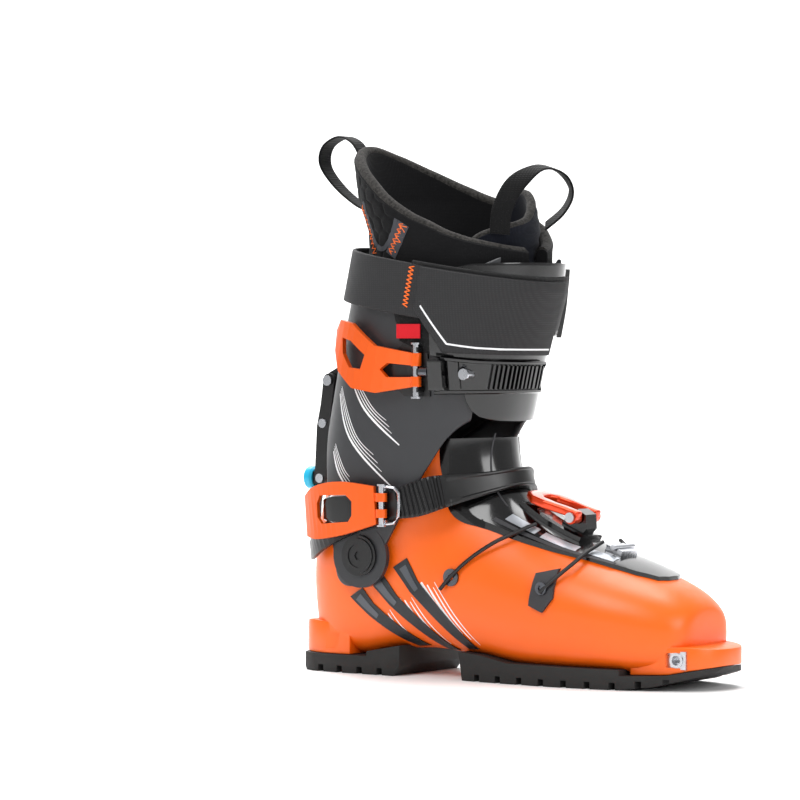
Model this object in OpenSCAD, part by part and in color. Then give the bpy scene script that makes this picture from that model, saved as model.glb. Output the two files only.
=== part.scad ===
// Alpine touring boot for the right foot: a moulded lower shell with a hinged cuff, a soft liner,
// three buckles, a power strap and a ski/walk mechanism on the spine.
// Frame: +X to the toe, +Y to the inner (medial) side, +Z up, origin under the middle of the boot.
// Every piece is laid out with x from the back of the heel lip, then moved by origin_x and origin_y.

/* [Sole] */
// Sole length, heel lip to toe lip
sole_l = 307; // [303:1:310]
// Distance between the outer faces of the toe insert
insert_span = 62; // [58:0.5:66]
// Radius of a toe socket
socket_r = 3; // [2.5:0.1:3.5]
// Depth of a toe socket
socket_d = 5; // [4:0.5:6]
// Depth of the tread grooves
tread = 4.5; // [3:0.5:5.5]

/* [Shell] */
// Wall of the lower shell
shell_t = 3.6; // [3:0.1:4]
// Wall of the cuff
cuff_t = 3; // [2.4:0.1:3.2]
// Thickness of the tongue and of the front flap
flap_t = 2.4; // [2:0.1:2.6]
// Air between the plastic and the liner
air = 1.2; // [1:0.1:1.5]
// Thickness of the liner foam
foam_t = 8; // [6:0.5:9]

/* [Cuff pivot] */
// Distance of the pivot from the back of the heel lip
pivot_x = 65; // [64:0.5:66]
// Height of the pivot above the floor
pivot_z = 77; // [76:0.5:78]
// Radius of the ear around the pivot
ear_r = 20.5; // [18:0.5:21]
// Radius of the pivot bolt
bolt_r = 5; // [4:0.25:6]

/* [Straps] */
// Height of the power strap
strap_h = 34; // [32:1:38]
// Thickness of the webbing
strap_t = 2.4; // [1.8:0.1:3]
// Width of the ankle strap
ankle_h = 17; // [15:1:20]
// Radius of the cables
cable_r = 1.3; // [1:0.1:1.6]

/* [Hidden] */

origin_x = 148;
origin_y = 0;
orange = [0.95, 0.38, 0.05];
black = [0.07, 0.07, 0.08];
graphite = [0.17, 0.17, 0.18];
steel = [0.75, 0.75, 0.77];
cloth = [0.05, 0.05, 0.06];
boss_r = 12; // flat bosses that the cuff turns against
run = 0.25; // running clearance round a pin

// Curves through chosen rows of values
function clamp(v, lo, hi) = max(lo, min(hi, v));
function hermite(a, b, c, d, t) =
    0.5 * (2 * b + (c - a) * t + (2 * a - 5 * b + 4 * c - d) * t * t + (3 * b - a - 3 * c + d) * t * t * t);
function curve(rows, t) =
    let (n = len(rows) - 1, i = clamp(floor(t), 0, n - 1), f = t - i)
    hermite(rows[max(i - 1, 0)], rows[i], rows[i + 1], rows[min(i + 2, n)], f);
function row_at(rows, key, i = 0) =
    i >= len(rows) - 2 || rows[i + 1][0] >= key ? i : row_at(rows, key, i + 1);
function table(rows, key) =
    let (k = clamp(key, rows[0][0], rows[len(rows) - 1][0]), i = row_at(rows, k),
        f = (k - rows[i][0]) / (rows[i + 1][0] - rows[i][0]))
    rows[i] + (rows[i + 1] - rows[i]) * f;
function power(v, e) = sign(v) * pow(abs(v), e);
function unit(v) = v / max(norm(v), 1e-9);

// Lower shell: stations from the toe, round the heel, to the collar. Each row is the upper rail x, z, the
// lower rail x, z, the half width, the sideways offset, and how square the upper and lower halves are.
stations = [
    [289, 45, 289, 36, 9, 4, 2.2, 2.2],
    [288, 50, 288.5, 24, 23, 4, 2.2, 2.6],
    [283, 55.5, 284, 14, 32, 4, 2.2, 3.0],
    [273, 62, 274, 9, 39, 4, 2.2, 3.4],
    [258, 68.5, 256, 8, 45, 4, 2.2, 3.6],
    [240, 75.5, 234, 8, 48.5, 3, 2.1, 3.6],
    [222, 81.5, 208, 8, 48.5, 1.5, 2.1, 3.6],
    [201, 88.5, 176, 9, 46.5, 0, 2.1, 3.4],
    [181, 97.5, 138, 14, 43.5, -0.5, 2.1, 3.2],
    [165, 107.5, 92, 17, 41.5, -0.5, 2.2, 3.0],
    [154, 118.5, 46, 10, 41.5, 0, 2.2, 2.8],
    [148.5, 129, 15, 14, 42.5, 0, 2.2, 2.6],
    [146, 138, 5, 45, 44, 0, 2.15, 2.35],
    [145, 147, 5, 85, 43.6, 0, 2.1, 2.15],
    [145, 154, 13, 122, 43, 0, 2.05, 2.0],
    [146, 161, 19, 138, 42.6, 0, 2.05, 2.0]];
last = len(stations) - 1;
cavity_s = 2.2; // station where the hollow for the foot starts
toe_floor = [[232, 8], [256, 17], [274, 27], [300, 30]];
function section(s, a, inset = 0, hollow = false) =
    let (r = curve(stations, s), t = [r[0], r[1]], b0 = [r[2], r[3]],
        b = hollow ? [b0.x, max(b0.y, table(toe_floor, b0.x)[1])] : b0,
        mid = (t + b) / 2, d = unit(t - b), h = max(norm(t - b) / 2 - inset, 1), w = max(r[4] - inset, 1),
        e = 2 / (cos(a) > 0 ? r[6] : r[7]), up = h * power(cos(a), e))
    [mid.x + d.x * up, r[5] + w * power(sin(a), e), mid.y + d.y * up];

// Cuff: height, middle, half length and half width of its outer face
cuff_rows = [
    [40, 67.5, 63.5, 49],
    [76, 72, 66.5, 49.5],
    [124, 78.5, 67.5, 50.4],
    [160, 84.5, 66.5, 51.8],
    [200, 93.3, 66.8, 53.5],
    [245, 105.5, 67.5, 55.5],
    [285, 112.5, 65.5, 55],
    [300, 115, 64.5, 54.5]];
cuff_e = 2 / 2.25;
function cuff_point(z, a, out = 0) =
    let (r = table(cuff_rows, z))
    [r[1] + (r[2] + out) * power(cos(a), cuff_e), (r[3] + out) * power(sin(a), cuff_e), z];
function cuff_y(x, z, out = 0) =
    let (r = table(cuff_rows, z), k = clamp(abs(x - r[1]) / (r[2] + out), 0, 0.999))
    (r[3] + out) * pow(1 - pow(k, 2 / cuff_e), cuff_e / 2);
// lower edge of the cuff by distance from the heel: high over the spine, low at the ears, high in front
ear_rows = [
    [13, 186], [14.5, 184], [16, 170], [19, 158], [26, 141], [34, 120], [41, 100], [46, 84], [54, 62],
    [65, 57], [77, 62], [86, 74], [95, 92], [104, 112], [113, 131], [124, 152], [136, 164], [146, 169],
    [156, 170]];
function cuff_low(a) = table(ear_rows, 80 + 68 * power(cos(a), cuff_e))[1];
top_rows = [[0, 268], [35, 267], [60, 258], [90, 258], [120, 265], [150, 269], [180, 270.5]];
function cuff_top(a) = table(top_rows, abs(a))[1];

// Liner above the foot: height, middle, half length, half width of its outer face
shaft_rows = [
    [130, 79.5, 63.9, 46.2],
    [160, 84.5, 62.9, 47.4],
    [200, 93.3, 63.2, 49.9],
    [245, 105.8, 63, 51.8],
    [271, 109.3, 59.6, 51],
    [285, 110, 61.6, 51],
    [305, 104, 63.7, 50.5],
    [345, 95, 62, 46]];
function shaft_point(z, a, inset = 0) =
    let (r = table(shaft_rows, z))
    [r[1] + (r[2] - inset) * power(cos(a), cuff_e), (r[3] - inset) * power(sin(a), cuff_e), z];
// rim of the liner by the angle from the toe: the inner side stands higher than the outer
wrap_rows = [
    [0, 271], [30, 276], [60, 290], [85, 303], [102, 312], [125, 323], [150, 333], [180, 339],
    [210, 331], [235, 317], [258, 299], [280, 285], [300, 278], [330, 273], [360, 271]];
function wrap_top(a) = table(wrap_rows, a)[1];
shaft_low_rows = [[10, 142], [41, 143], [60, 142], [75, 146], [90, 155], [105, 164], [120, 168], [135, 169],
    [148, 164], [160, 163]];
function shaft_low(a) = table(shaft_low_rows, 84 + 64 * power(cos(a), cuff_e))[1];
tongue_top_rows = [[-72, 262], [-50, 280], [-25, 286], [0, 291], [20, 301], [40, 309], [72, 311]];

// Solids from grids of points
function grid_faces(nu, nv, at, flip) = [
    for (i = [0 : nu - 2], j = [0 : nv - 2])
        let (p = at + i * nv + j, q = p + 1, r = p + nv, s = r + 1)
        each flip ? [[p, r, q], [q, r, s]] : [[p, q, r], [q, s, r]]];
function ring_faces(nu, nv, at, flip) = [
    for (i = [0 : nu - 2], j = [0 : nv - 1])
        let (p = at + i * nv + j, q = at + i * nv + (j + 1) % nv, r = p + nv, s = q + nv)
        each flip ? [[p, r, q], [q, r, s]] : [[p, q, r], [q, s, r]]];
// A slab between two open grids
module slab(face, back) {
    nu = len(face);
    nv = len(face[0]);
    m = nu * nv;
    points = concat([for (r = face) each r], [for (r = back) each r]);
    t = (nu - 1) * nv;
    edges = concat(
        [for (j = [0 : nv - 2]) each [[j, m + j, j + 1], [j + 1, m + j, m + j + 1]]],
        [for (j = [0 : nv - 2]) each [[t + j, t + j + 1, m + t + j], [t + j + 1, m + t + j + 1,
            m + t + j]]],
        [for (i = [0 : nu - 2], p = i * nv) each [[p, p + nv, m + p], [p + nv, m + p + nv, m + p]]],
        [for (i = [0 : nu - 2], p = i * nv + nv - 1) each [[p, m + p, p + nv], [p + nv, m + p,
            m + p + nv]]]);
    polyhedron(points, concat(grid_faces(nu, nv, 0, false), grid_faces(nu, nv, m, true), edges),
        convexity = 8);
}
// A closed loft through rings, capped with fans
function mean(r) = [for (k = [0 : 2]) [for (p = r) p[k]] * [for (p = r) 1] / len(r)];
module loft(rings) {
    nu = len(rings);
    nv = len(rings[0]);
    m = nu * nv;
    t = (nu - 1) * nv;
    points = concat([for (r = rings) each r], [mean(rings[0]), mean(rings[nu - 1])]);
    caps = [for (j = [0 : nv - 1]) let (k = (j + 1) % nv) each [[m, k, j], [m + 1, t + j, t + k]]];
    polyhedron(points, concat(ring_faces(nu, nv, 0, false), caps), convexity = 8);
}
// A round cable along a list of points
module cable(path, r, n = 8) {
    rings = [for (i = [0 : len(path) - 1])
        let (d = unit(path[min(i + 1, len(path) - 1)] - path[max(i - 1, 0)]),
            u = unit(cross(d, abs(d.z) < 0.9 ? [0, 0, 1] : [1, 0, 0])), v = cross(d, u))
        [for (k = [0 : n - 1]) path[i] + r * (u * cos(k * 360 / n) + v * sin(k * 360 / n))]];
    loft([for (i = [len(rings) - 1 : -1 : 0]) rings[i]]);
}
// A flat strap: rows are x, y, z of its middle, the outward direction, the width and the thickness
function smooth_rows(rows, steps) =
    [for (i = [0 : (len(rows) - 1) * steps]) curve(rows, i / steps)];
module ribbon(rows) {
    rings = [for (i = [0 : len(rows) - 1])
        let (p = function(k) [rows[k][0], rows[k][1], rows[k][2]],
            d = unit(p(min(i + 1, len(rows) - 1)) - p(max(i - 1, 0))),
            n0 = [rows[i][3], rows[i][4], rows[i][5]], w = unit(cross(d, n0)), n = unit(cross(w, d)),
            a = w * rows[i][6] / 2, b = n * rows[i][7] / 2)
        [p(i) - a - b, p(i) + a - b, p(i) + a + b, p(i) - a + b]];
    loft(rings);
}
module at_origin() translate([-origin_x, -origin_y, 0]) children();
// A moulded piece is joined up as one mesh
module moulded() resize([0, 0, 0]) children();
// An outline seen from the side, with x along the boot and y as its height, made solid across it
module across(y0, y1) translate([0, y1, 0]) rotate([90, 0, 0]) linear_extrude(y1 - y0) children();
module cross_pin(x, z, r, y0, y1) translate([x, y1, z]) rotate([90, 0, 0]) cylinder(r = r, h = y1 - y0,
    $fn = 48);

// The lower form at an offset, closed at both ends
module form(inset, from, to, n, m, hollow = false)
    loft([for (i = [n : -1 : 0]) [for (j = [0 : m - 1]) section(from + (to - from) * i / n,
        j * 360 / m, inset, hollow)]]);
module cuff_form(out, z0, z1, n, m)
    loft([for (i = [0 : n]) [for (j = [0 : m - 1]) cuff_point(z0 + (z1 - z0) * i / n, -j * 360 / m, out)]]);

// ---------- lower shell and sole ----------
module throat() translate([0, 0, 50]) linear_extrude(150)
    polygon([[240, -3], [234, -10], [216, -14], [196, -18], [165, -21], [140, -23], [110, -26], [60,
        -30], [60, 30],
        [110, 26], [140, 23], [165, 21], [196, 20], [216, 18], [234, 15], [240, 8]]);
collar = [[-20, 119], [12, 121], [30, 125], [60, 129], [90, 136], [104, 142], [112, 149], [119, 150],
    [127, 143], [134, 132], [142, 124], [156, 118], [180, 150], [200, 240], [-20, 240]];
module above_collar() across(-80, 80) polygon(collar);
module toe_outline() translate([255, 3]) polygon([for (k = [-90 : 10 : 90])
    [(sole_l - 255) * pow(abs(cos(k)), 0.78), 36 * power(sin(k), 0.8)]]);
module heel_outline() translate([46, 0]) polygon([for (k = [90 : 10 : 270])
    [46 * power(cos(k), 0.7), 34 * power(sin(k), 0.7)]]);
module lower_shell() color(orange) at_origin() moulded() {
    difference() {
        union() {
            form(0, 0, last, 30, 36);
            intersection() {
                translate([0, 0, 8]) linear_extrude(20) toe_outline();
                across(-60, 60) polygon([[252, 9], [280, 10], [sole_l + 1, 15.5], [sole_l + 1, 25.5],
                    [290, 27], [252, 28]]);
            }
            intersection() {
                translate([0, 0, 12]) linear_extrude(22) heel_outline();
                across(-60, 60) polygon([[-2, 12], [60, 12], [60, 24], [46, 31], [14, 33.5], [-2, 32]]);
            }
            for (m = [0, 1]) mirror([0, m, 0]) {
                cross_pin(pivot_x, pivot_z, boss_r, 40, 46.1);
            }
        }
        form(shell_t, cavity_s, last + 0.5, 21, 28, hollow = true);
        above_collar();
        throat();
        cross_pin(285, 19, 4.8, -insert_span, insert_span);
        // pocket and lips round the heel insert
        translate([-5, -15.1, 12]) cube([9.1, 30.2, 18.1]);
        for (y = [-34.5, 33]) translate([0, y, 0]) across(0, 1.5) polygon([[14, 15], [34, 15], [38,
            25], [18, 25]]);
        translate([285, 3, 19]) cube([13.1, insert_span + 0.2, 11.1], center = true);
        cross_pin(pivot_x, pivot_z, bolt_r + 0.1, -60, 60);
        for (y = [-60, 30]) {
            cross_pin(130, 65, 2.2, y, y + 30);
            cross_pin(200, 61, 2.2, y, y + 30);
        }
    }
}
module on_shell(lo, hi, y0, y1) intersection() {
    difference() {
        form(-hi, 2, last, 26, 36);
        form(-lo, 1.8, last + 0.2, 26, 36);
    }
    across(y0, y1) children();
}
module medial_panel() color(graphite) at_origin() moulded() on_shell(0.1, 0.9, 5, 60)
    polygon([[48, 54], [84, 62], [122, 40], [136, 27], [140, 20], [92, 20], [62, 20.5]]);
module lateral_inlays() color(graphite) at_origin() moulded() on_shell(0.1, 0.9, -60, -5) {
    polygon([[86, 70], [96, 76], [104, 62], [146, 20], [138, 19.5], [98, 55]]);
    polygon([[68, 60], [78, 65], [88, 52], [127, 18], [118, 18], [82, 46]]);
    polygon([[52, 50], [62, 56], [70, 46], [104, 20], [94, 19], [66, 38]]);
}

function sole_plan() = [
    [133, -39], [150, -42], [172, -44], [206, -46], [236, -44.5], [262, -39.5], [280, -33.5], [293, -27.5],
    [301, -18.5], [305, -8], [306, 3], [305, 14], [301, 24.5], [293, 33.5], [280, 39.5], [262, 46],
        [236, 50.5],
    [206, 49.5], [172, 44.5], [150, 41.5], [133, 38]];
module forefoot_sole() color(black) at_origin() moulded() difference() {
    intersection() {
        linear_extrude(20) polygon(sole_plan());
        across(-60, 60) polygon([[133, 18], [136, 0], [250, 0], [272, 2.5], [303, 10.6], [306, 14.8],
            [280, 9.8],
            [252, 8.8], [252, 12.5], [172, 13], [150, 17]]);
    }
    form(-0.15, 0, last, 30, 36);
    for (i = [0 : 8]) translate([148.5 + i * 16.5, 0, max(0, (i - 6) * 1.4)])
        translate([-2.4, -60, -6]) cube([4.8, 120, 6 + tread]);
    translate([140, -2, -1]) cube([118, 7, 1 + tread]);
}
module heel_sole() color(black) at_origin() moulded() difference() {
    intersection() {
        linear_extrude(20) polygon([[2, -18], [6, -27], [16, -33], [40, -36], [70, -37], [87, -37.5],
            [87, 37.5], [70, 37], [40, 36], [16, 33], [6, 27], [2, 18]]);
        across(-60, 60) polygon([[1, 11.9], [5, 3], [8, 0], [82, 0], [88, 8], [88, 20], [61, 15],
            [60.5, 11.9]]);
    }
    form(-0.15, 0, last, 30, 36);
    for (i = [0 : 3]) translate([20.5 + i * 16, -60, -1]) cube([4.8, 120, 1 + tread]);
    translate([12, -3.5, -1]) cube([62, 7, 1 + tread]);
}
module toe_tech_insert() color(steel) at_origin() difference() {
    union() {
        translate([285, 3, 19]) cube([13, insert_span, 11], center = true);
        for (s = [0, 1]) translate([285, 3, 19]) rotate([s * 180, 0, 0]) rotate([-90, 0, 0])
            translate([0, 0, insert_span / 2 - 0.4]) cylinder(r = 4.6, h = 1.0, $fn = 64);
    }
    for (s = [0, 1]) translate([285, 3, 19]) rotate([s * 180, 0, 0]) rotate([-90, 0, 0])
        translate([0, 0, insert_span / 2 + 0.6 - socket_d]) cylinder(r = socket_r, h = socket_d + 1,
            $fn = 64);
}
module heel_tech_insert() color(steel) at_origin() difference() {
    translate([-0.6, -15, 12.1]) cube([4.6, 30, 17.8]);
    for (m = [0, 1]) mirror([0, m, 0]) translate([-2, 5.6, 10]) cube([5, 4.6, 12.5]);
    translate([-1, 0, 24]) rotate([0, 90, 0]) cylinder(r = 2.6, h = 8, $fn = 48);
}
module heel_insert_screw() color(steel) at_origin() difference() {
    union() {
        translate([-1.6, 0, 24]) rotate([0, 90, 0]) cylinder(r1 = 3.4, r2 = 4.4, h = 1, $fn = 48);
        translate([-0.7, 0, 24]) rotate([0, 90, 0]) cylinder(r = 2.5, h = 4.5, $fn = 48);
    }
    for (k = [0, 90]) translate([-2, 0, 24]) rotate([k, 0, 0]) cube([1.6, 5, 1.1], center = true);
}

// ---------- liner ----------
module liner_foot() color(cloth) at_origin() moulded() difference() {
    form(shell_t + air, cavity_s + (last + 0.5 - cavity_s) / 21, last + 0.5, 20, 28, hollow = true);
    form(shell_t + air + foam_t, 3.4, last + 0.5, 18, 24, hollow = true);
    translate([0, 0, -1]) across(-80, 80) polygon([[-20, 121], [12, 122], [30, 125], [60, 129], [90, 136],
        [104, 142], [112, 149], [200, 150], [200, 240], [-20, 240]]);
}
module wall(point, a0, a1, nu, nv, low, top, in0, in1)
    slab([for (i = [0 : nu]) let (a = a0 + (a1 - a0) * i / nu) [for (j = [0 : nv])
            point(low(a) + (top(a) - low(a)) * j / nv, a, in0)]],
        [for (i = [0 : nu]) let (a = a0 + (a1 - a0) * i / nu) [for (j = [0 : nv])
            point(low(a) + (top(a) - low(a)) * j / nv, a, in1)]]);
module liner_shaft() color(cloth) at_origin() moulded()
    wall(function(z, a, i) shaft_point(z, a, i), 10, 350, 40, 7, function(a) shaft_low(a),
        function(a) wrap_top(a), 0, foam_t);
module liner_tongue() color(cloth) at_origin() moulded()
    wall(function(z, a, i) shaft_point(z, a, i), -72, 72, 16, 6, function(a) 180,
        function(a) table(tongue_top_rows, a)[1], foam_t + 1.5, foam_t * 2);
module rear_pull_loop() color(cloth) at_origin() moulded() ribbon(smooth_rows([
    [41.5, 0, 298, -1, 0, 0, 14, 1.4], [30, 0, 303, -0.3, 0, -1, 14, 1.4], [14, 0, 315, -0.7, 0, -0.7,
        14, 1.4],
    [3, 0, 329, -1, 0, -0.4, 14, 1.4], [5, 0, 341, -0.7, 0, 0.8, 14, 1.4], [17, 0, 347, 0, 0, 1, 14, 1.4],
    [28, 0, 343, 0.5, 0, 1, 14, 1.4], [35, 0, 333, 1, 0, 0.4, 14, 1.4]], 2));
module front_pull_loop() color(cloth) at_origin() moulded() ribbon(smooth_rows([
    [155, -25, 281, 0.72, -0.7, 0, 13, 1.4], [156, -23.5, 297, 0.72, -0.7, 0.1, 13, 1.4],
    [160, -14, 313, 0.5, -0.6, 0.5, 13, 1.4], [169, 0, 323.5, 0.2, -0.2, 1, 13, 1.4],
    [177, 13, 320, 0.5, 0.5, 0.7, 13, 1.4], [180, 20, 309, 0.7, 0.7, 0, 13, 1.4],
    [173, 22, 297, 0.7, 0.7, -0.4, 13, 1.4], [160.5, 20.5, 287, 0.7, 0.7, -0.5, 13, 1.4]], 2));

// ---------- tongue, cables and forefoot buckle ----------
module shell_tongue() color(black) at_origin() moulded() difference() {
    intersection() {
        form(-0.3 - flap_t, 1.2, last - 0.3, 30, 40);
        translate([0, 0, 52]) linear_extrude(150) polygon([[265, -2], [262, -10], [250, -17], [236, -21],
            [218, -24], [196, -28], [168, -31], [142, -33], [116, -36], [116, 36], [142, 33], [168,
                31], [196, 30],
            [218, 29], [236, 27], [250, 24], [262, 17], [265, 9]]);
    }
    form(-0.3, 0.6, last + 0.3, 30, 40);
    across(-80, 80) polygon([[90, 148], [120, 152], [190, 154], [190, 220], [90, 220]]);
}
module tongue_guide() color(steel) at_origin() {
    translate([229, 1, 83.3]) rotate([0, 20, 0]) difference() {
        cube([12, 20, 4], center = true);
        translate([0, 0, 2.6]) cube([4.4, 30, 4], center = true);
    }
    cross_pin(229.6, 85.4, 1.7, -11.5, 13.5);
}
module forefoot_buckle_base() color(black) at_origin() {
    moulded() on_shell(flap_t + 0.4, flap_t + 3.6, -13, 13)
        polygon([[163, 103], [176, 90], [202, 80], [208, 92], [197, 100.5], [190, 104], [164, 112.4],
            [159, 109]]);
    difference() {
        across(-6.5, 6.5) polygon([[188, 97.5], [203, 91.5], [207.5, 96], [207, 105], [201, 108.5],
            [195, 106]]);
        cross_pin(201, 103.5, 2.2, -10, 10);
    }
}
module forefoot_lever_pin() color(steel) at_origin() {
    cross_pin(201, 103.5, 2, -15.5, 15.5);
    for (y = [-16.6, 15.4]) cross_pin(201, 103.5, 3.2, y, y + 1.2);
}
module forefoot_buckle_lever() color(orange) at_origin() translate([201, 0, 103.5]) rotate([0, 17, 0])
    difference() {
        union() {
            translate([0, 0, -0.5]) linear_extrude(5.5) polygon([[4.2, -14.6], [-7, -14.6], [-20, -18],
                [-30, -16.5],
                [-39, -8], [-39, 8], [-30, 16.5], [-20, 18], [-7, 14.6], [4.2, 14.6], [4.2, 8], [-7, 8],
                [-15, 9.5], [-25, 8.5], [-29, 4], [-29, -4], [-25, -8.5], [-15, -9.5], [-7, -8], [4.2,
                    -8]]);
            for (y = [-14.9, 7.8]) translate([0, y, 0]) rotate([-90, 0, 0]) cylinder(r = 4.2, h = 7.1,
                $fn = 48);
        }
        translate([0, -20, 0]) rotate([-90, 0, 0]) cylinder(r = 2 + run, h = 40, $fn = 48);
    }
function shell_path(rows, lift, steps = 3) =
    [for (i = [0 : (len(rows) - 1) * steps]) let (r = curve(rows, i / steps)) section(r[0], r[1],
        -lift - r[2])];
module rear_cable() color(black) at_origin() moulded() for (m = [-1, 1])
    cable(shell_path([[9.05, 92 * m, 1.2], [8.9, 74 * m, 0.8], [8.6, 56 * m, 3], [8.3, 40 * m, 3.4],
        [8.1, 24 * m, 3.6]], cable_r + 0.3), cable_r);
module front_cable() color(black) at_origin() moulded() for (m = [-1, 1])
    cable(shell_path([[6.7, 76 * m, 2.2], [6.45, 60 * m, 2.0], [6.2, 42 * m, 3.4], [6.15, 22 * m, 3.6],
        [6.1, 10 * m, 5.8]], cable_r + 0.3), cable_r);
module rear_cable_rivet() color(steel) at_origin() for (m = [0, 1]) mirror([0, m, 0]) difference() {
    cross_pin(130, 65, 5.5, 41.9, 43.6);
    cross_pin(130, 65, 2, 41, 46);
}
module front_cable_anchor() color(graphite) at_origin() moulded() for (s = [-1, 1]) difference() {
    on_shell(0.2, 2.2, s < 0 ? -60 : 5, s < 0 ? -5 : 60)
        polygon([[191, 50], [201, 46], [208, 55], [207, 73], [193, 70]]);
    cross_pin(200, 61, 2.6, -60, 60);
}
module anchor_screw() color(steel) at_origin() for (s = [-1, 1]) difference() {
    p = section(6.7, 72 * s, -2.3);
    translate([200, p.y - (s < 0 ? 1.8 : 0.2), 61]) rotate([-90, 0, 0]) cylinder(r = 4, h = 2, $fn = 48);
    translate([200, p.y - (s < 0 ? 2.5 : -0.9), 61]) rotate([-90, 0, 0]) cylinder(r = 2, h = 1.6, $fn = 6);
}

// ---------- ankle strap and buckle ----------
ankle_rows = [
    [76, -55.1, 107, 0, -1, 0, ankle_h, 2], [88, -55.2, 109, 0, -1, 0, ankle_h, 2],
    [98, -55.6, 111, 0.1, -1, 0, ankle_h + 2, 2.4],
    [110, -53.2, 114, 0.25, -1, 0.05, ankle_h + 5, 2.6], [122, -50, 118, 0.45, -0.9, 0.1, ankle_h + 5, 2.6],
    [134, -40, 121, 0.65, -0.8, 0.2, ankle_h + 1, 2.6], [147, -25, 124.5, 0.85, -0.5, 0.25,
        ankle_h - 3, 2.6],
    [154.4, -12, 127, 0.95, -0.2, 0.25, ankle_h - 5, 2.6], [156.8, 0, 128, 1, 0, 0.2, ankle_h - 5, 2.6],
    [154.4, 13, 127, 0.95, 0.2, 0.25, ankle_h - 4, 2.6], [147.4, 26, 122.5, 0.85, 0.5, 0.25,
        ankle_h - 3, 2.6],
    [135, 37.5, 113, 0.6, 0.8, 0.2, ankle_h - 2, 2.6], [124, 44.5, 100, 0.3, 1, 0.1, ankle_h - 2, 2.6],
    [113, 46.6, 87, 0.1, 1, 0, ankle_h - 3, 2.4], [103, 46.2, 76, 0, 1, 0, ankle_h - 4, 2.2]];
module ankle_strap() color(black) at_origin() moulded() difference() {
    ribbon(smooth_rows(ankle_rows, 3));
    cross_pin(106, 79, 3.1, 30, 60);
}
module ankle_strap_rivet() color(steel) at_origin() {
    cross_pin(106, 79, 3, 42.8, 49.4);
    cross_pin(106, 79, 5.6, 48.8, 50.2);
    cross_pin(106, 79, 5, 42.6, 44.8);
}
module ankle_buckle_base() color(black) at_origin() moulded() ribbon(smooth_rows([
    [16, -33.5, 78, -0.5, -0.85, 0, 12, 2.4], [24, -42, 81, -0.5, -0.85, 0, 13, 2.4],
    [33, -47.8, 86, -0.4, -0.92, 0, 14, 2.4], [45, -51.9, 92, -0.2, -1, 0, 15, 2.4],
    [58, -52.5, 98, -0.1, -1, 0, 16, 2.4], [73, -52.7, 103, 0, -1, 0, 17, 2.4], [93, -52.8, 107, 0, -1,
        0, 18, 2.4]], 3));
lever_y = -60.4;
module ankle_lever_pin() color(steel) at_origin() {
    translate([89, lever_y, 97.5]) cylinder(r = 1.9, h = 25, $fn = 48);
    for (z = [96.6, 122.4]) translate([89, lever_y, z]) cylinder(r = 2.9, h = 1, $fn = 48);
    for (z = [99.2, 119.2]) translate([86.6, lever_y + 1, z]) cube([4.8, 4.6, 1.6]);
}
module ankle_buckle_lever() color(orange) at_origin() moulded() difference() {
    union() {
        ribbon(smooth_rows([
            [22, -46.5, 101, -0.6, -0.85, 0, 26, 3], [31, -51.8, 103, -0.5, -0.87, 0, 33, 3],
            [44, -56.6, 105.5, -0.35, -0.95, 0, 35, 3], [58, -59.5, 107.5, -0.15, -1, 0, 34, 3],
            [73, -60.9, 109, -0.05, -1, 0, 29, 3], [85, -60.9, 110, 0, -1, 0, 24, 3]], 3));
        for (z = [102.2, 112.4]) translate([89, lever_y, z]) cylinder(r = 3.6, h = 5.4, $fn = 40);
        for (z = [102.2, 112.4]) translate([82, lever_y - 1.6, z]) cube([7, 3, 5.4]);
    }
    across(-70, -30) polygon([[40, 97], [64, 99], [67, 103], [67, 112], [62, 116], [38, 115], [35,
        110], [36, 101]]);
    translate([89, lever_y, 90]) cylinder(r = 1.9 + run, h = 40, $fn = 40);
}
module ankle_bail() color(steel) at_origin() moulded()
    cable([[88.5, -59.6, 98.1], [93, -59.8, 98.3], [98, -59.4, 99], [100.6, -58.8, 103], [101, -58.4, 111],
        [100.6, -58.4, 118], [98, -59.2, 121.3], [93, -59.8, 121.9], [88.5, -59.6, 121.9]], 1);
module pivot_bolts() color(steel) at_origin() for (m = [0, 1]) mirror([0, m, 0])
    cross_pin(pivot_x, pivot_z, bolt_r, 40.5, 50.6);
module pivot_caps() color(black) at_origin() for (m = [0, 1]) mirror([0, m, 0]) difference() {
    union() {
        cross_pin(pivot_x, pivot_z, 13, 50.2, 51.6);
        cross_pin(pivot_x, pivot_z, 11, 51.5, 52.4);
    }
    cross_pin(pivot_x, pivot_z, 7.5, 51.7, 53);
    cross_pin(pivot_x, pivot_z, bolt_r + 0.02, 50, 50.62);
    translate([pivot_x, 53, pivot_z]) rotate([90, 0, 0]) cylinder(r = 3, h = 2.2, $fn = 6);
}

// ---------- cuff ----------
module cuff_shell() color(graphite) at_origin() moulded() difference() {
    union() {
        wall(function(z, a, i) cuff_point(z, a, -i), 38, 322, 48, 8, function(a) cuff_low(a),
            function(a) cuff_top(a > 180 ? 360 - a : a), 0, cuff_t);
        for (m = [0, 1]) mirror([0, m, 0]) cross_pin(pivot_x, pivot_z, ear_r, 46.4, 49.9);
    }
    for (m = [0, 1]) mirror([0, m, 0]) cross_pin(pivot_x, pivot_z, boss_r + 0.6, 40, 46.4);
    cross_pin(pivot_x, pivot_z, bolt_r + run, -60, 60);
}
module on_cuff(lo, hi, y0, y1, z0 = 150, z1 = 290) intersection() {
    difference() {
        cuff_form(hi, z0, z1, 6, 44);
        cuff_form(lo, z0 - 1, z1 + 1, 6, 44);
    }
    across(y0, y1) children();
}
module cuff_flap() color(black) at_origin() moulded() on_cuff(0.2, 0.2 + flap_t, -60, 60)
    polygon([[122, 256], [121, 205], [137, 202], [139, 178], [141, 169], [147, 164.5], [160, 162],
        [200, 161], [200, 264],
        [150, 262]]);
strap_z = function(x) 273.5 - 0.16 * (x - 45);
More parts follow.
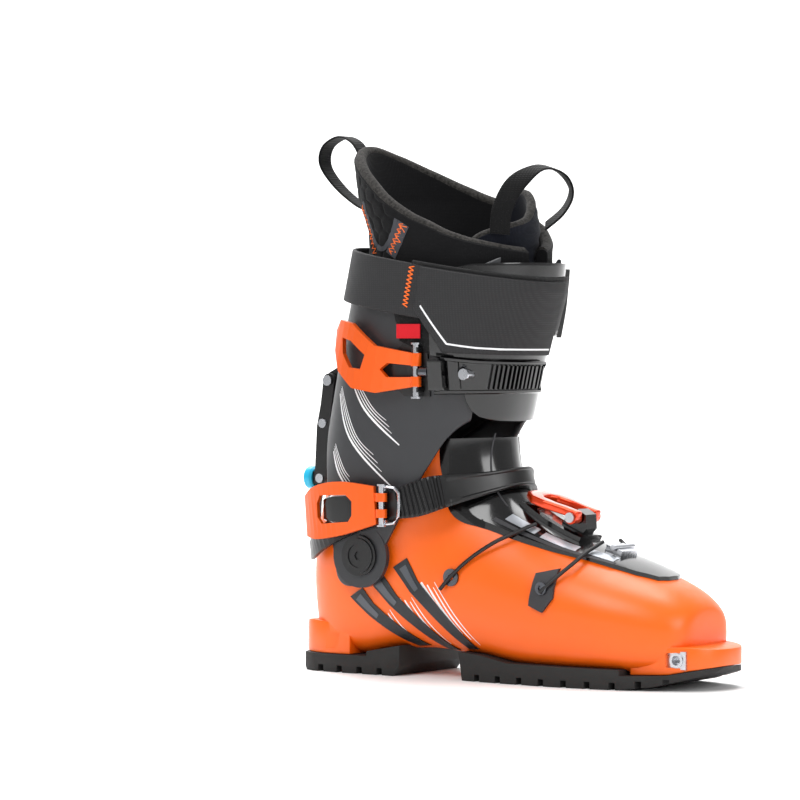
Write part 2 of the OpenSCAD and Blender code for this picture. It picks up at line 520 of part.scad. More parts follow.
module strap_band(x0, x1, top, bottom) polygon([[x0, strap_z(x0) - bottom], [x1, strap_z(x1) - bottom],
    [x1, strap_z(x1) - top], [x0, strap_z(x0) - top]]);
module power_strap() color(cloth) at_origin() moulded() on_cuff(2.9, 2.9 + strap_t, -80, 80, 195, 284)
    strap_band(20, 200, 0, strap_h);
module strap_wing() color(cloth) at_origin() moulded() on_cuff(5.4, 7.2, -80, 12, 195, 275)
    polygon([[112, strap_z(112) - 1], [200, strap_z(200) - 1], [200, 203], [131, 206.5], [112, 238]]);
module strap_ring() color(black) at_origin() moulded() difference() {
    on_cuff(5.5, 9, 10, 80, 190, 285) strap_band(136, 161, -5, strap_h + 5);
    across(0, 80) strap_band(142, 147, 0.5, strap_h - 0.5);
    across(0, 80) strap_band(151, 156, 0.5, strap_h - 0.5);
}
module strap_tag() color([0.75, 0.06, 0.06]) at_origin() translate([108, -cuff_y(108, 218, 4),
    220]) rotate([0, 0, 4])
    cube([17, 1, 9], center = true);
module strap_mount() color(black) at_origin() translate(cuff_point(251, 167, 5.5)) rotate([0, -78, 0])
    rotate([-13, 0, 0]) difference() {
        cylinder(r = 15, h = 3, $fn = 6);
        translate([0, 0, 2]) cylinder(r = 6, h = 2, $fn = 48);
    }
module strap_mount_screw() color(steel) at_origin() translate(cuff_point(251, 167, 5.5)) rotate([0, -78, 0])
    rotate([-13, 0, 0]) difference() {
        translate([0, 0, 2]) cylinder(r = 4, h = 1.6, $fn = 48);
        translate([0, 0, 2.6]) cylinder(r = 2, h = 2, $fn = 6);
    }

// ---------- cuff buckle ----------
hinge_y = -cuff_y(114, 195, 6.9);
module cuff_buckle_base() color(black) at_origin() {
    moulded() on_cuff(0.2, 1.8, -80, -20, 160, 220) polygon([[94, 186], [102, 179], [119, 179], [119,
        211], [102, 212], [94, 206]]);
    for (z = [181.6, 192.7, 206.9]) translate([111.4, hinge_y - 1.6, z]) cube([5.2, 7,
        z == 192.7 ? 3.6 : 3]);
}
module cuff_lever_pin() color(steel) at_origin() {
    translate([114, hinge_y, 178.6]) cylinder(r = 2, h = 33.4, $fn = 48);
    for (z = [177.6, 211.6]) translate([114, hinge_y, z]) cylinder(r = 3.2, h = 1.2, $fn = 48);
}
module cuff_buckle_lever() color(orange) at_origin() moulded() difference() {
    union() {
        intersection() {
            difference() {
                cuff_form(8, 170, 235, 6, 64);
                cuff_form(4.4, 169, 236, 6, 64);
            }
            across(-70, -20) polygon([[45, 221], [50, 227.5], [64, 225], [84, 211], [114, 206], [114,
                198.3], [94, 200],
                [88, 196], [93, 191], [114, 191.2], [114, 185.3], [84, 181], [64, 184], [50, 195], [45,
                    208]]);
        }
        for (z = [198.05, 185.1]) translate([114, hinge_y, z]) cylinder(r = 3.4,
            h = z > 190 ? 8.2 : 6.35, $fn = 40);
    }
    across(-80, -20) polygon([[54, 216], [63, 214], [76, 205], [72, 196], [62, 197], [55, 206]]);
    translate([114, hinge_y, 150]) cylinder(r = 2 + run, h = 90, $fn = 40);
    across(-80, -20) polygon([[106, 196.8], [121, 196.8], [121, 192.1], [106, 192.1]]);
}
module adjuster_barrel() color(steel) at_origin() difference() {
    translate([117.4, hinge_y, 194.5]) rotate([0, 90, 0]) cylinder(r = 2.9, h = 6, $fn = 48);
    translate([117, hinge_y, 194.5]) rotate([0, 90, 0]) cylinder(r = 1.65, h = 7, $fn = 48);
}
module adjuster_rod() color(steel) at_origin() translate([117.6, hinge_y, 194.5]) rotate([0, 90, 0])
    cylinder(r = 1.6, h = 10, $fn = 48);
module cuff_strap() color(black) at_origin() moulded() difference() {
    union() {
        on_cuff(2.9, 5.3, -80, 12, 160, 220)
            polygon([[124, 205], [150, 202], [200, 199], [200, 181], [124, 180]]);
        on_cuff(3.3, 12.4, -80, -20, 160, 220) polygon([[124.6, 202.5], [133, 201.5], [133, 183],
            [124.6, 183]]);
        on_cuff(3.5, 6.8, -80, 11.6, 160, 220) polygon([[124.4, 181.2], [190, 181.6], [190, 183.6],
            [124.4, 183.2]]);
        on_cuff(3.4, 6.8, -80, 11.4, 160, 220) polygon([[133, 201.2], [190, 197.8], [190, 199.3], [133,
            203.2]]);
        for (k = [0 : 4]) on_cuff(5, 7.4, -40, 8, 160, 220)
            translate([152 + 2.8 * k, 0]) polygon([[0, 184], [1.2, 184], [1.2, 198], [0, 198]]);
    }
    translate([110, hinge_y, 194.5]) rotate([0, 90, 0]) cylinder(r = 1.9, h = 20, $fn = 24);
    cross_pin(146, 193, 2.1, -80, 0);
}
module cuff_strap_rivet() color(steel) at_origin() {
    cross_pin(146, 193, 2, -52, -43);
    cross_pin(146, 193, 3.6, -53.4, -52);
}

// ---------- ski/walk mechanism ----------
module walk_bracket() color(black) at_origin() difference() {
    union() {
        across(-6.2, 6.2) polygon([[9, 184], [17, 182], [24, 190], [25.5, 206], [22.5, 207], [20, 198],
            [10, 193]]);
        across(-11, 11) polygon([[22.6, 189.5], [25, 198], [27, 208], [24.4, 208.5], [20.4, 190]]);
    }
    cross_pin(13, 188, 2.35, -20, 20);
}
module bracket_screw() color(steel) at_origin() translate([21.4, 0, 202]) rotate([0, -78, 0]) difference() {
    cylinder(r1 = 4.4, r2 = 3.4, h = 1.6, $fn = 48);
    for (k = [0, 90]) rotate([0, 0, k]) translate([0, 0, 1.6]) cube([5, 1.1, 1.6], center = true);
}
module bracket_pin() color(steel) at_origin() {
    cross_pin(13, 188, 2.2, -12, 12);
    for (y = [-12.8, 11.8]) cross_pin(13, 188, 3.4, y, y + 1);
}
module bar_plate() difference() {
    union() {
        polygon([[8.6, 188], [6.4, 172], [3.4, 158], [1.6, 124], [10.4, 124], [13.4, 158], [15, 172],
            [17.4, 188]]);
        translate([13, 188]) circle(r = 4.6, $fn = 48);
        translate([6, 124]) circle(r = 4.5, $fn = 48);
    }
    translate([13, 188]) circle(r = 2.45, $fn = 48);
}
module walk_bar() color(black) at_origin() {
    for (y = [-10.6, 7.2]) across(y, y + 3.4) bar_plate();
    across(-7.3, 7.3) polygon([[3.2, 136], [11, 136], [11.4, 142], [3.6, 142]]);
}
module walk_bar_pins() color(steel) at_origin() {
    for (p = [[8.4, 160], [6, 124]]) {
        cross_pin(p.x, p.y, 1.8, -7.1, 7.1);
        for (y = [-11.8, 10.7]) cross_pin(p.x, p.y, 3, y, y + 1.1);
    }
}
module return_spring() color([0.72, 0.4, 0.2]) at_origin() moulded()
    cable([for (k = [0 : 48]) let (t = k / 48) [8.8 + 2.6 * t + 2.3 * cos(k * 60), 2.3 * sin(k * 60),
        163.4 + 18 * t]], 0.55, 4);
module walk_lever() color(black) at_origin() difference() {
    union() {
        cross_pin(6, 124, 4.2, -4.5, 4.5);
        across(-4.5, 4.5) polygon([[3, 127.5], [-4, 128], [-4, 120], [3, 120.5]]);
        across(-2.6, 2.6) polygon([[2.2, 126], [-2.6, 121], [-4.2, 108], [-4.6, 96], [-2.4, 96], [-1.8,
            108], [0.4, 119], [4, 120.5]]);
    }
    cross_pin(6, 124, 1.8 + run, -10, 10);
}
module walk_knob() color([0.1, 0.7, 0.82]) at_origin() translate([-4, 0, 124]) rotate([0, -90, 0]) {
    cylinder(r1 = 6.4, r2 = 7.4, h = 1.5, $fn = 64);
    translate([0, 0, 1.5]) cylinder(r = 7.4, h = 4, $fn = 64);
    translate([0, 0, 5.5]) cylinder(r1 = 7.4, r2 = 5.8, h = 1.4, $fn = 64);
}

lower_shell();
medial_panel();
lateral_inlays();
forefoot_sole();
heel_sole();
toe_tech_insert();
heel_tech_insert();
heel_insert_screw();
liner_foot();
shell_tongue();
tongue_guide();
forefoot_buckle_base();
forefoot_buckle_lever();
forefoot_lever_pin();
rear_cable();
front_cable();
rear_cable_rivet();
front_cable_anchor();
anchor_screw();
ankle_strap();
ankle_strap_rivet();
ankle_buckle_base();
ankle_bail();
ankle_buckle_lever();
ankle_lever_pin();
pivot_bolts();
pivot_caps();
cuff_shell();
cuff_flap();
liner_shaft();
liner_tongue();
rear_pull_loop();
front_pull_loop();
power_strap();
strap_wing();
strap_mount();
strap_mount_screw();
strap_ring();
strap_tag();
cuff_buckle_base();
cuff_buckle_lever();
cuff_lever_pin();
adjuster_barrel();
adjuster_rod();
cuff_strap();
cuff_strap_rivet();
walk_bracket();
bracket_screw();
bracket_pin();
walk_bar();
walk_bar_pins();
return_spring();
walk_lever();
walk_knob();
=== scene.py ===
"""Looks for the alpine touring boot. Shapes are laid out in millimetres, with x from the back of the heel
lip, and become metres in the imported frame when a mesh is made."""
from math import cos, degrees, floor, hypot, pi, radians, sin, sqrt

import bmesh
import bpy
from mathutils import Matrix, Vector
from mathutils.bvhtree import BVHTree


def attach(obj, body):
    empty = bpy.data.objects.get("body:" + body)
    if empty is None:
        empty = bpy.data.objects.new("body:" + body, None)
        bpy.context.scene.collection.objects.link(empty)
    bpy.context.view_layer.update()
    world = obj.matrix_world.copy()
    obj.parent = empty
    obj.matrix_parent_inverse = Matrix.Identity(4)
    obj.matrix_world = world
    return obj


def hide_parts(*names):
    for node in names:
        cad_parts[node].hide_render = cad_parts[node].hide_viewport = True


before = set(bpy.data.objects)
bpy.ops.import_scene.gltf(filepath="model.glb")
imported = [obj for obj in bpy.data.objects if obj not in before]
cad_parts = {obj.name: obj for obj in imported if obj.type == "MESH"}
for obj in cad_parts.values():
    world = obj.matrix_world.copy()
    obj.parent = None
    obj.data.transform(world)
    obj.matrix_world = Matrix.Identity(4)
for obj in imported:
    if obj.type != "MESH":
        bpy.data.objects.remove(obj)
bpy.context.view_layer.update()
ORIGIN_X = 148.0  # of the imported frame, from the back of the heel lip
MM = 0.001
LATERAL = -1  # the outer side of the boot faces -Y
PIVOT = (65, 77)
EAR_R, BOSS_R, BOLT_R = 20.5, 12, 5
SHELL_T, CUFF_T, FOAM_T = 3.6, 3.0, 8.0
TONGUE_LO, TONGUE_HI = 0.3, 2.7  # offsets of the two faces of the shell tongue
STRAP_LO, STRAP_HI = 2.9, 5.3  # offsets of the two faces of the straps round the cuff
STRAP_H = 34
TREAD, GROOVE, GROOVE_STEP = 4.5, 4.8, 16.5
SOCKET = (285, 19)


# ---------- curves and surfaces of the boot ----------
def clamp(v, lo, hi):
    return max(lo, min(hi, v))


def hermite(a, b, c, d, t):
    return [0.5 * (2 * q + (r - p) * t + (2 * p - 5 * q + 4 * r - s) * t * t
                   + (3 * q - p - 3 * r + s) * t ** 3)
            for p, q, r, s in zip(a, b, c, d)]


def curve(rows, t):
    last = len(rows) - 1
    i = int(clamp(floor(t), 0, last - 1))
    return hermite(rows[max(i - 1, 0)], rows[i], rows[i + 1], rows[min(i + 2, last)], t - i)


def table(rows, key):
    key = clamp(key, rows[0][0], rows[-1][0])
    i = 0
    while i < len(rows) - 2 and rows[i + 1][0] < key:
        i += 1
    f = (key - rows[i][0]) / (rows[i + 1][0] - rows[i][0])
    return [p + (q - p) * f for p, q in zip(rows[i], rows[i + 1])]


def soft_table(rows, key):
    """Like table(), but smooth through the rows."""
    key = clamp(key, rows[0][0], rows[-1][0])
    i = 0
    while i < len(rows) - 2 and rows[i + 1][0] < key:
        i += 1
    return curve(rows, i + (key - rows[i][0]) / (rows[i + 1][0] - rows[i][0]))


def power(v, e):
    return (1 if v >= 0 else -1) * abs(v) ** e


# stations from the toe, round the heel, to the collar: upper rail x z, lower rail x z, half width, sideways
# offset, and how square the upper and lower halves are
STATIONS = [
    [289, 45, 289, 36, 9, 4, 2.2, 2.2], [288, 50, 288.5, 24, 23, 4, 2.2, 2.6],
    [283, 55.5, 284, 14, 32, 4, 2.2, 3.0],
    [273, 62, 274, 9, 39, 4, 2.2, 3.4], [258, 68.5, 256, 8, 45, 4, 2.2, 3.6],
    [240, 75.5, 234, 8, 48.5, 3, 2.1, 3.6],
    [222, 81.5, 208, 8, 48.5, 1.5, 2.1, 3.6], [201, 88.5, 176, 9, 46.5, 0, 2.1, 3.4],
    [181, 97.5, 138, 14, 43.5, -0.5, 2.1, 3.2], [165, 107.5, 92, 17, 41.5, -0.5, 2.2, 3.0],
    [154, 118.5, 46, 10, 41.5, 0, 2.2, 2.8], [148.5, 129, 15, 14, 42.5, 0, 2.2, 2.6],
    [146, 138, 5, 45, 44, 0, 2.15, 2.35], [145, 147, 5, 85, 43.6, 0, 2.1, 2.15],
    [145, 154, 13, 122, 43, 0, 2.05, 2.0], [146, 161, 19, 138, 42.6, 0, 2.05, 2.0]]
LAST = len(STATIONS) - 1
TOE_FLOOR = [[232, 8], [256, 17], [274, 27], [300, 30]]


def section(s, a, inset=0.0, hollow=False):
    r = curve(STATIONS, s)
    top, low = (r[0], r[1]), (r[2], max(r[3], table(TOE_FLOOR, r[2])[1]) if hollow else r[3])
    reach = hypot(top[0] - low[0], top[1] - low[1])
    dx, dz = (top[0] - low[0]) / reach, (top[1] - low[1]) / reach
    h, w = max(reach / 2 - inset, 1), max(r[4] - inset, 1)
    e = 2 / (r[6] if cos(a) > 0 else r[7])
    up = h * power(cos(a), e)
    return ((top[0] + low[0]) / 2 + dx * up, r[5] + w * power(sin(a), e), (top[1] + low[1]) / 2 + dz * up)


# height, middle, half length and half width of the outer face of the cuff
CUFF = [[40, 67.5, 63.5, 49], [76, 72, 66.5, 49.5], [124, 78.5, 67.5, 50.4], [160, 84.5, 66.5, 51.8],
        [200, 93.3, 66.8, 53.5], [245, 105.5, 67.5, 55.5], [285, 112.5, 65.5, 55], [300, 115, 64.5, 54.5]]
CUFF_E = 2 / 2.25
# lower edge of the cuff by distance from the heel
EAR = [[13, 186], [14.5, 184], [16, 170], [19, 158], [26, 141], [34, 120], [41, 100], [46, 84], [54, 62],
       [65, 57],
       [77, 62], [86, 74], [95, 92], [104, 112], [113, 131], [124, 152], [136, 164], [146, 169], [156, 170]]
CUFF_TOP = [[0, 268], [35, 267], [60, 258], [90, 258], [120, 265], [150, 269], [180, 270.5]]
SHAFT = [[130, 79.5, 63.9, 46.2], [160, 84.5, 62.9, 47.4], [200, 93.3, 63.2, 49.9], [245, 105.8, 63, 51.8],
         [271, 109.3, 59.6, 51], [285, 110, 61.6, 51], [305, 104, 63.7, 50.5], [345, 95, 62, 46]]
# rim of the liner by the angle from the toe
WRAP = [[0, 271], [30, 276], [60, 290], [85, 303], [102, 312], [125, 323], [150, 333], [180, 339],
        [210, 331],
        [235, 317], [258, 299], [280, 285], [300, 278], [330, 273], [360, 271]]
SHAFT_LOW = [[10, 142], [41, 143], [60, 142], [75, 146], [90, 155], [105, 164], [120, 168], [135, 169],
             [148, 164],
             [160, 163]]
TONGUE_TOP = [[-72, 262], [-50, 280], [-25, 286], [0, 291], [20, 301], [40, 309], [72, 311]]


def oval(rows, z, a, out=0.0):
    r = table(rows, z)
    return (r[1] + (r[2] + out) * power(cos(a), CUFF_E), (r[3] + out) * power(sin(a), CUFF_E), z)


def cuff_low(a):
    return soft_table(EAR, 80 + 68 * power(cos(a), CUFF_E))[1]


def cuff_top(a):
    angle = degrees(a) % 360
    return soft_table(CUFF_TOP, min(angle, 360 - angle))[1]


def shaft_low(a):
    return soft_table(SHAFT_LOW, 84 + 64 * power(cos(a), CUFF_E))[1]


def wrap_top(a):
    return soft_table(WRAP, degrees(a) % 360)[1]


# ---------- meshes ----------
def mesh(name, points, faces, smooth=32):
    data = bpy.data.meshes.new(name)
    data.from_pydata([((p[0] - ORIGIN_X) * MM, p[1] * MM, p[2] * MM) for p in points], [], faces)
    data.validate()
    piece = bpy.data.objects.new(name, data)
    bpy.context.scene.collection.objects.link(piece)
    return soften(piece, smooth)


def soften(piece, angle=32):
    """Smooth shading with sharp edges above an angle, and faces turned outwards."""
    b = bmesh.new()
    b.from_mesh(piece.data)
    bmesh.ops.remove_doubles(b, verts=b.verts, dist=1e-7)
    bmesh.ops.recalc_face_normals(b, faces=b.faces)
    b.to_mesh(piece.data)
    b.free()
    piece.data.shade_smooth()
    piece.data.set_sharp_from_angle(angle=radians(angle))
    return piece


def loft(name, rings, closed=False, smooth=32):
    """A closed skin through rings of points, capped at both ends unless the rings go round."""
    n, m = len(rings), len(rings[0])
    points = [p for r in rings for p in r]
    faces = []
    for i in range(n if closed else n - 1):
        for j in range(m):
            k, q = (j + 1) % m, (i + 1) % n
            faces.append((i * m + j, i * m + k, q * m + k, q * m + j))
    if not closed:
        for ring, flip in ((0, True), (n - 1, False)):
            hub = len(points)
            points.append([sum(c) / m for c in zip(*rings[ring])])
            for j in range(m):
                k = (j + 1) % m
                face = (hub, ring * m + k, ring * m + j) if flip else (hub, ring * m + j, ring * m + k)
                faces.append(face)
    return mesh(name, points, faces, smooth)


def form(name, inset, first, last, n, m, hollow=False):
    return loft(name, [[section(first + (last - first) * i / n, 2 * pi * j / m, inset, hollow)
                        for j in range(m)]
                       for i in range(n + 1)])


def prism(outline, lo, hi, way="side"):
    """An outline made solid: seen from the side (x, z) between two y, or from above (x, y) between two z."""
    rings = [[(p[0], level, p[1]) if way == "side" else (p[0], p[1], level) for p in outline]
             for level in (lo, hi)]
    m = len(outline)
    faces = [tuple(range(m)), tuple(range(2 * m - 1, m - 1, -1))]
    faces += [(j, m + j, m + (j + 1) % m, (j + 1) % m) for j in range(m)]
    return mesh("tool", rings[0] + rings[1], faces)


def pin(x, z, r, y0, y1, sides=48):
    return prism([(x + r * cos(2 * pi * k / sides), z + r * sin(2 * pi * k / sides))
                  for k in range(sides)], y0, y1)


def cut(piece, *tools, how="DIFFERENCE", smooth=32):
    for tool in tools:
        step = piece.modifiers.new("cut", "BOOLEAN")
        step.operation, step.object, step.solver = how, tool, "MANIFOLD"
        bake(piece)
        bpy.data.objects.remove(tool)
    return soften(piece, smooth)


def keep(piece, tool, smooth=32):
    return cut(piece, tool, how="INTERSECT", smooth=smooth)


def add(piece, *tools):
    return cut(piece, *tools, how="UNION")


def bake(piece):
    """Applies the piece's modifiers."""
    ready = bpy.data.meshes.new_from_object(piece.evaluated_get(bpy.context.evaluated_depsgraph_get()))
    piece.modifiers.clear()
    piece.data = ready


def rounded(piece, width=0.5, segments=2, angle=35):
    step = piece.modifiers.new("edges", "BEVEL")
    step.width, step.segments = width * MM, segments
    step.limit_method, step.angle_limit = "ANGLE", radians(angle)
    step.harden_normals = False
    bake(piece)
    return soften(piece, 45)


def joined(name, pieces):
    """Several meshes as one."""
    b = bmesh.new()
    for piece in pieces:
        b.from_mesh(piece.data)
    data = bpy.data.meshes.new(name)
    b.to_mesh(data)
    b.free()
    for piece in pieces:
        bpy.data.objects.remove(piece)
    whole = bpy.data.objects.new(name, data)
    bpy.context.scene.collection.objects.link(whole)
    return soften(whole, 40)


def rounded_wall(name, point, a0, a1, columns, low, top, thick, rows=60, edge=None, dent=None,
                 closed=False):
    """A wall between two offsets of a surface, with rounded rims. dent() lifts or sinks its outer face."""
    edge = edge or thick / 2
    rings = []
    for i in range(columns + (0 if closed else 1)):
        a = a0 + (a1 - a0) * i / columns
        z0, z1 = low(a) + edge, top(a) - edge
        ring = []
        for j in range(rows + 1):
            z = z0 + (z1 - z0) * j / rows
            ring.append(point(z, a, dent(a, z, z0, z1) if dent else 0.0))
        for k in range(1, 8):
            t = pi * k / 8
            ring.append(point(z1 + edge * sin(t), a, -thick / 2 + thick / 2 * cos(t)))
        for j in range(rows, -1, -1):
            ring.append(point(z0 + (z1 - z0) * j / rows, a, -thick))
        for k in range(1, 8):
            t = pi * k / 8
            ring.append(point(z0 - edge * sin(t), a, -thick / 2 - thick / 2 * cos(t)))
        rings.append(ring)
    return loft(name, rings, closed)


def tube(name, path, r, sides=10, closed=False):
    rings, n = [], len(path)
    points = [Vector(p) for p in path]
    for i, p in enumerate(points):
        a = points[(i - 1) % n] if closed else points[max(i - 1, 0)]
        b = points[(i + 1) % n] if closed else points[min(i + 1, n - 1)]
        d = (b - a).normalized()
        u = d.cross(Vector((0, 0, 1)) if abs(d.z) < 0.9 else Vector((1, 0, 0))).normalized()
        v = d.cross(u)
        turns = [2 * pi * k / sides for k in range(sides)]
        rings.append([p + r * (u * cos(turn) + v * sin(turn)) for turn in turns])
    return loft(name, rings, closed, 60)


def edge_drop(v, half, corner):
    """How far a rounded edge falls away at v, from -1 to 1 across a strap."""
    past = clamp((abs(v) * half - (half - corner)) / corner, 0, 1)
    return corner * (1 - sqrt(max(0.0, 1 - past ** 2)))


def strap(name, rows, steps=6, corner=0.6, relief=None):
    """A flat strap with rounded edges. Rows are x, y, z, the outward direction, the width and the thickness.
    relief(t, v) raises the outer face, with t in rows and v from -1 to 1 across."""
    count = (len(rows) - 1) * steps
    path = [curve(rows, i / steps) for i in range(count + 1)]
    across = [-1 + k / 8 for k in range(17)]
    rings = []
    for i, r in enumerate(path):
        p = Vector(r[:3])
        d = (Vector(path[min(i + 1, count)][:3]) - Vector(path[max(i - 1, 0)][:3])).normalized()
        w = d.cross(Vector(r[3:6])).normalized()
        n = w.cross(d).normalized()
        half, thick = r[6] / 2, r[7] / 2
        c = min(corner, thick * 0.95)
        outline = []
        for v in across:
            lift = relief(i / steps, v) if relief else 0
            outline.append(p + w * (v * half) + n * (thick + lift - edge_drop(v, half, c)))
        for v in across[::-1]:
            outline.append(p + w * (v * half) - n * (thick - edge_drop(v, half, c)))
        rings.append(outline)
    return loft(name, rings, smooth=40)


def on_form(name, lo, hi, y0, y1, *outlines, n=120, m=140):
    """A plate that follows the lower shell between two offsets, inside outlines seen from the side."""
    parts = []
    for outline in outlines:
        plate = form(name, -hi, 2, LAST, n, m)
        cut(plate, form("tool", -lo, 1.8, LAST + 0.2, n, m))
        parts.append(keep(plate, prism(outline, y0, y1)))
    return joined(name, parts)


def cuff_form(out, z0, z1, n=24, m=220):
    return loft("tool", [[oval(CUFF, z0 + (z1 - z0) * i / n, 2 * pi * j / m, out) for j in range(m)]
                         for i in range(n + 1)])


def on_cuff(name, lo, hi, y0, y1, outline, z0=150, z1=290):
    plate = cuff_form(hi, z0, z1)
    plate.name = name
    cut(plate, cuff_form(lo, z0 - 1, z1 + 1))
    return keep(plate, prism(outline, y0, y1))


# ---------- materials ----------
def linear(code):
    levels = [int(code[i:i + 2], 16) / 255 for i in (1, 3, 5)]
    return [c / 12.92 if c <= 0.04045 else ((c + 0.055) / 1.055) ** 2.4 for c in levels] + [1.0]


def node(tree, kind, **values):
    made = tree.nodes.new(kind)
    for key, value in values.items():
        if hasattr(made, key):
            setattr(made, key, value)
        else:
            made.inputs[key.replace("_", " ")].default_value = value
    return made


def scaled(tree, source, lo, hi):
    """A 0..1 value spread between two levels."""
    made = node(tree, "ShaderNodeMapRange", clamp=False)
    tree.links.new(source, made.inputs["Value"])
    made.inputs["To Min"].default_value, made.inputs["To Max"].default_value = lo, hi
    return made.outputs["Result"]


def noise(tree, place, scale, detail=2.0, roughness=0.5):
    made = node(tree, "ShaderNodeTexNoise", Scale=scale, Detail=detail, Roughness=roughness)
    tree.links.new(place, made.inputs["Vector"])
    return made.outputs["Fac"]


def bands(tree, place, direction, period):
    made = node(tree, "ShaderNodeTexWave", wave_type="BANDS", bands_direction=direction)
    made.inputs["Scale"].default_value = 0.314 / (period * MM)
    made.inputs["Distortion"].default_value = 0.25
    tree.links.new(place, made.inputs["Vector"])
    return made.outputs["Fac"]


def maths(tree, how, a, b):
    made = node(tree, "ShaderNodeMath", operation=how)
    for slot, value in zip(made.inputs, (a, b)):
        if isinstance(value, (int, float)):
            slot.default_value = value
        else:
            tree.links.new(value, slot)
    return made.outputs[0]


def finish(name, colour, rough, metallic=0.0, coat=0.0, sheen=0.0, gleam=0.5, grain=900, bump=0.15,
           depth=0.15, mottle=0.07,
           spread=0.06, weave=None, second=None):
    """A surface: mottled colour, uneven roughness and a fine relief, which is a weave where weave gives its
    two periods in millimetres. second is a colour that shows in flecks or between the threads."""
    made = bpy.data.materials.new(name)
    made.use_nodes = True
    tree = made.node_tree
    shader = tree.nodes["Principled BSDF"]
    shader.inputs["Metallic"].default_value = metallic
    shader.inputs["Specular IOR Level"].default_value = 0.15 if weave or second else gleam
    shader.inputs["Coat Weight"].default_value = coat
    shader.inputs["Coat Roughness"].default_value = 0.08
    shader.inputs["Sheen Weight"].default_value = sheen
    shader.inputs["Sheen Roughness"].default_value = 0.5
    place = node(tree, "ShaderNodeTexCoord").outputs["Object"]
    cloud = noise(tree, place, 28, 3)
    relief = noise(tree, place, grain, 3, 0.6)
    if weave:
        threads = maths(tree, "MULTIPLY", bands(tree, place, "Z", weave[1]),
                        bands(tree, place, "X" if len(weave) < 3 else weave[2], weave[0]))
        relief = maths(tree, "ADD", threads, maths(tree, "MULTIPLY", relief, 0.45))
    base = linear(colour)
    other = linear(second) if second else [c * 0.55 for c in base[:3]] + [1.0]
    tint = node(tree, "ShaderNodeMix", data_type="RGBA")
    tint.inputs[6].default_value = [c * (1 - mottle) for c in base[:3]] + [1.0]
    tint.inputs[7].default_value = [min(1.0, c * (1 + mottle)) for c in base[:3]] + [1.0]
    tree.links.new(cloud, tint.inputs[0])
    shade = tint.outputs[2]
    if weave or second:
        fleck = node(tree, "ShaderNodeMix", data_type="RGBA")
        fleck.inputs[7].default_value = other
        tree.links.new(shade, fleck.inputs[6])
        tree.links.new(scaled(tree, relief, 0.6, 0.0) if weave else scaled(tree, relief, -0.9, 1.6),
                       fleck.inputs[0])
        fleck.clamp_factor = True
        shade = fleck.outputs[2]
    tree.links.new(shade, shader.inputs["Base Color"])
    tree.links.new(scaled(tree, noise(tree, place, 160, 2), rough - spread, rough + spread),
                   shader.inputs["Roughness"])
    swell = node(tree, "ShaderNodeBump", Strength=bump, Distance=depth * MM)
    tree.links.new(relief, swell.inputs["Height"])
    tree.links.new(swell.outputs["Normal"], shader.inputs["Normal"])
    return made


